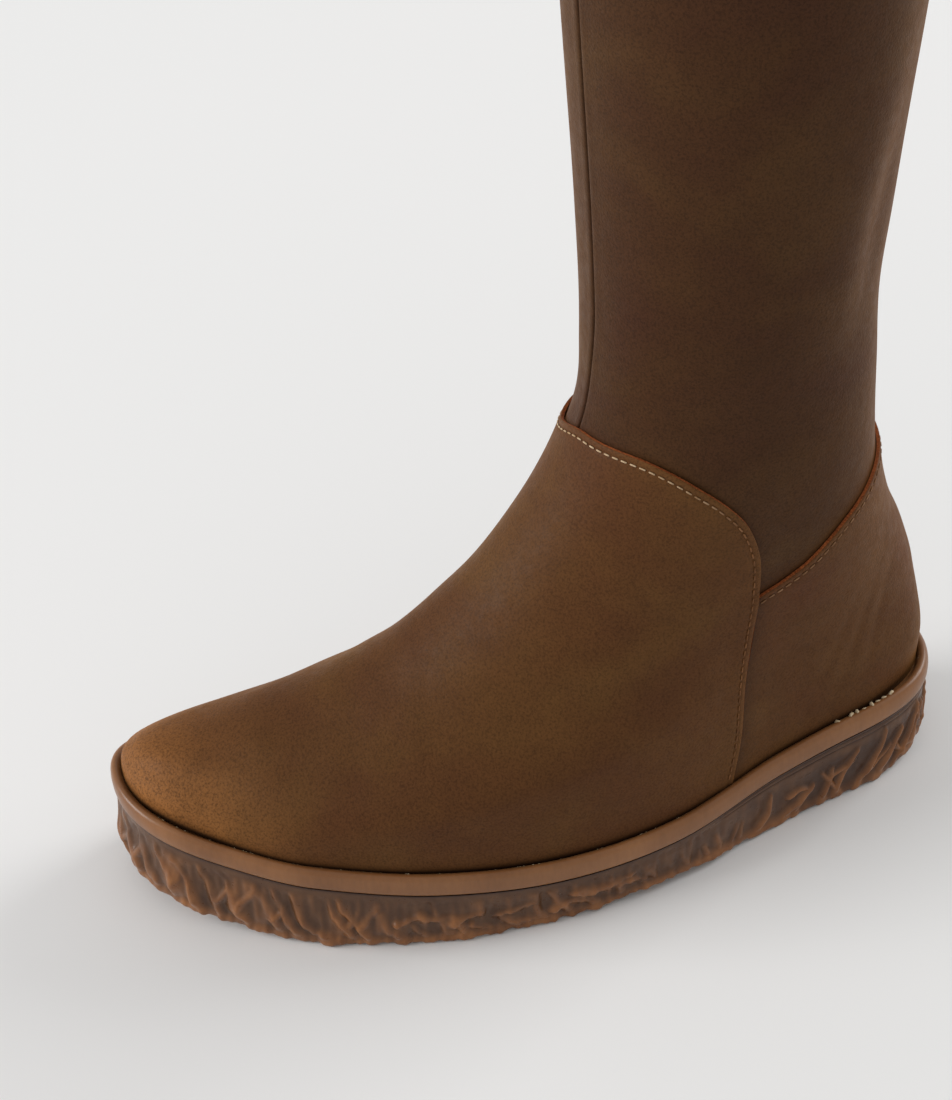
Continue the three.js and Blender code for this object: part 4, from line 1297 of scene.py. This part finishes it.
def metal_piece(name, parts, axes, material, body, stands_for):
    """Joins temporary shapes, each with its own local matrix, and stands them on the boot."""
    here, along, up, out = axes
    basis = Matrix([[along[i], up[i], out[i]] for i in range(3)]).to_4x4()
    basis.translation = Vector(here)
    mesh = bpy.data.meshes.new(name)
    joined = bmesh.new()
    for edit, local in parts:
        bmesh.ops.transform(edit, matrix=basis @ local, verts=edit.verts)
        piece = bpy.data.meshes.new("part")
        edit.to_mesh(piece)
        edit.free()
        joined.from_mesh(piece)
        bpy.data.meshes.remove(piece)
    joined.to_mesh(mesh)
    joined.free()
    co = np.empty(len(mesh.vertices) * 3)
    mesh.vertices.foreach_get("co", co)
    mesh.vertices.foreach_set("co", place(co).ravel())
    mesh.update()
    stand(name, mesh, [material], 35, body, stands_for)


QUARTER = Matrix.Rotation(math.pi / 2, 4, "Y")       # sets a plate on edge, square to the axle


def make_slider():
    """Slider with its two ears and axle."""
    shield = [(x * (1 - 0.16 * smoothstep((2 - y) / 8)), y) for x, y in round_rect(8.8, 13.4, 2.6)]
    ear = round_rect(5.0, 4.6, 1.5)
    parts = [
        (plate(shield, 2.0), Matrix.Translation((0, 0, 1.1))),
        (plate(ear, 1.2), Matrix.Translation((2.9, AXLE_UP, 4.1)) @ QUARTER),
        (plate(ear, 1.2), Matrix.Translation((-2.9, AXLE_UP, 4.1)) @ QUARTER),
        (rod(0.8, 7.6), Matrix.Translation((0, AXLE_UP, AXLE_OUT))),
    ]
    metal_piece("slider_body", parts, slider_frame(), old_brass("slider_brass"), "boot",
                "zip_slider")


def make_pull():
    """Pull tab hanging from the axle."""
    here, along, up, out = slider_frame()
    axle = here + up * AXLE_UP + out * AXLE_OUT
    down = np.array([0.0, 0.0, -1.0])
    hang = -unit(down - (down @ along) * along)
    axes = (axle, along, hang, unit(np.cross(along, hang)))
    parts = [
        (plate(circle(2.1, 24), 3.7, circle(1.25, 20)), QUARTER),
        (plate(round_rect(3.6, 8.2, 0.8), 1.5), Matrix.Translation((0, -5.6, 0))),
        (plate(round_rect(8.2, 22, 2.6), 1.5, round_rect(3.4, 12, 1.6, -1.5)),
         Matrix.Translation((0, -19.3, 0))),
    ]
    metal_piece("pull_tab", parts, axes, old_brass("pull_brass"), "pull", "zip_pull")


# ---- the CAD piece that stays ----

def finish_insole():
    """The footbed keeps its CAD shape and gets a leather finish."""
    s = Shader("footbed_leather")
    s.set(Base_Color=s.mottled(18, 4, 0.55, (158, 124, 88), (188, 154, 116)), Roughness=0.8,
          Specular_IOR_Level=0.25)
    s.bump(s.cells(1.0), 0.05)
    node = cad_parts["insole"]
    node.data.materials.clear()
    node.data.materials.append(s.material)


# ---- studio ----

AZIMUTH, ELEVATION, ROLL = 75.6, 37.0, -4.4        # the photograph's angle to the boot, in degrees
DISTANCE = 620.0                                   # from the camera to the point below
AIM = (19.9, -21.5, 127.4)                         # in the boot's own axes
LENS = 69.4


def add_camera():
    """The photograph's view."""
    a, e, r = (math.radians(v) for v in (AZIMUTH, ELEVATION, ROLL))
    back = np.array([math.sin(a) * math.cos(e), -math.cos(a) * math.cos(e), math.sin(e)])
    level = unit(np.cross(-back, [0, 0, 1]))
    above = np.cross(back, level)
    right = math.cos(r) * level + math.sin(r) * above
    up = -math.sin(r) * level + math.cos(r) * above
    camera = bpy.data.objects.new("camera", bpy.data.cameras.new("camera"))
    camera.data.lens = LENS
    camera.data.clip_start = 0.01
    turn = Matrix([[right[i], up[i], back[i]] for i in range(3)]).to_4x4()
    turn.translation = Vector(place(np.array(AIM) + back * DISTANCE)[0])
    camera.matrix_world = turn
    bpy.context.scene.collection.objects.link(camera)
    bpy.context.scene.camera = camera


def add_area(name, where, aim, size, power):
    light = bpy.data.lights.new(name, "AREA")
    light.shape = "RECTANGLE"
    light.size, light.size_y = size
    light.energy = power
    obj = bpy.data.objects.new(name, light)
    obj.location = where
    obj.rotation_euler = (Vector(aim) - Vector(where)).to_track_quat("-Z", "Y").to_euler()
    bpy.context.scene.collection.objects.link(obj)


def add_studio():
    """Floor, two large lamps and a white world."""
    mesh = bpy.data.meshes.new("floor")
    reach = 5.0
    mesh.from_pydata([(-reach, -reach, 0), (reach, -reach, 0), (reach, reach, 0), (-reach, reach, 0)], [],
                     [(0, 1, 2, 3)])
    mesh.materials.append(FLOOR)
    floor = bpy.data.objects.new("floor", mesh)
    bpy.context.scene.collection.objects.link(floor)
    add_area("key", (-1.0, -4.8, 2.3), (0, 0, 0.1), (3.0, 2.6), 190)
    add_area("side", (-0.9, 4.6, 2.8), (0, 0, 0.2), (2.8, 2.8), 128)
    world = bpy.data.worlds.new("studio")
    world.use_nodes = True
    world.node_tree.nodes["Background"].inputs["Color"].default_value = (1, 1, 1, 1)
    world.node_tree.nodes["Background"].inputs["Strength"].default_value = 0.52
    bpy.context.scene.world = world
    bpy.context.scene.view_settings.view_transform = "Standard"


add_camera()
add_studio()
make_leg()
make_vamp()
make_heel_panel()
make_rim_band()
make_tread_wall()
make_tread_lugs()
make_crumbs()
make_zip_tape()
make_zip_teeth()
make_zip_stitches()
make_slider()
make_pull()
finish_insole()
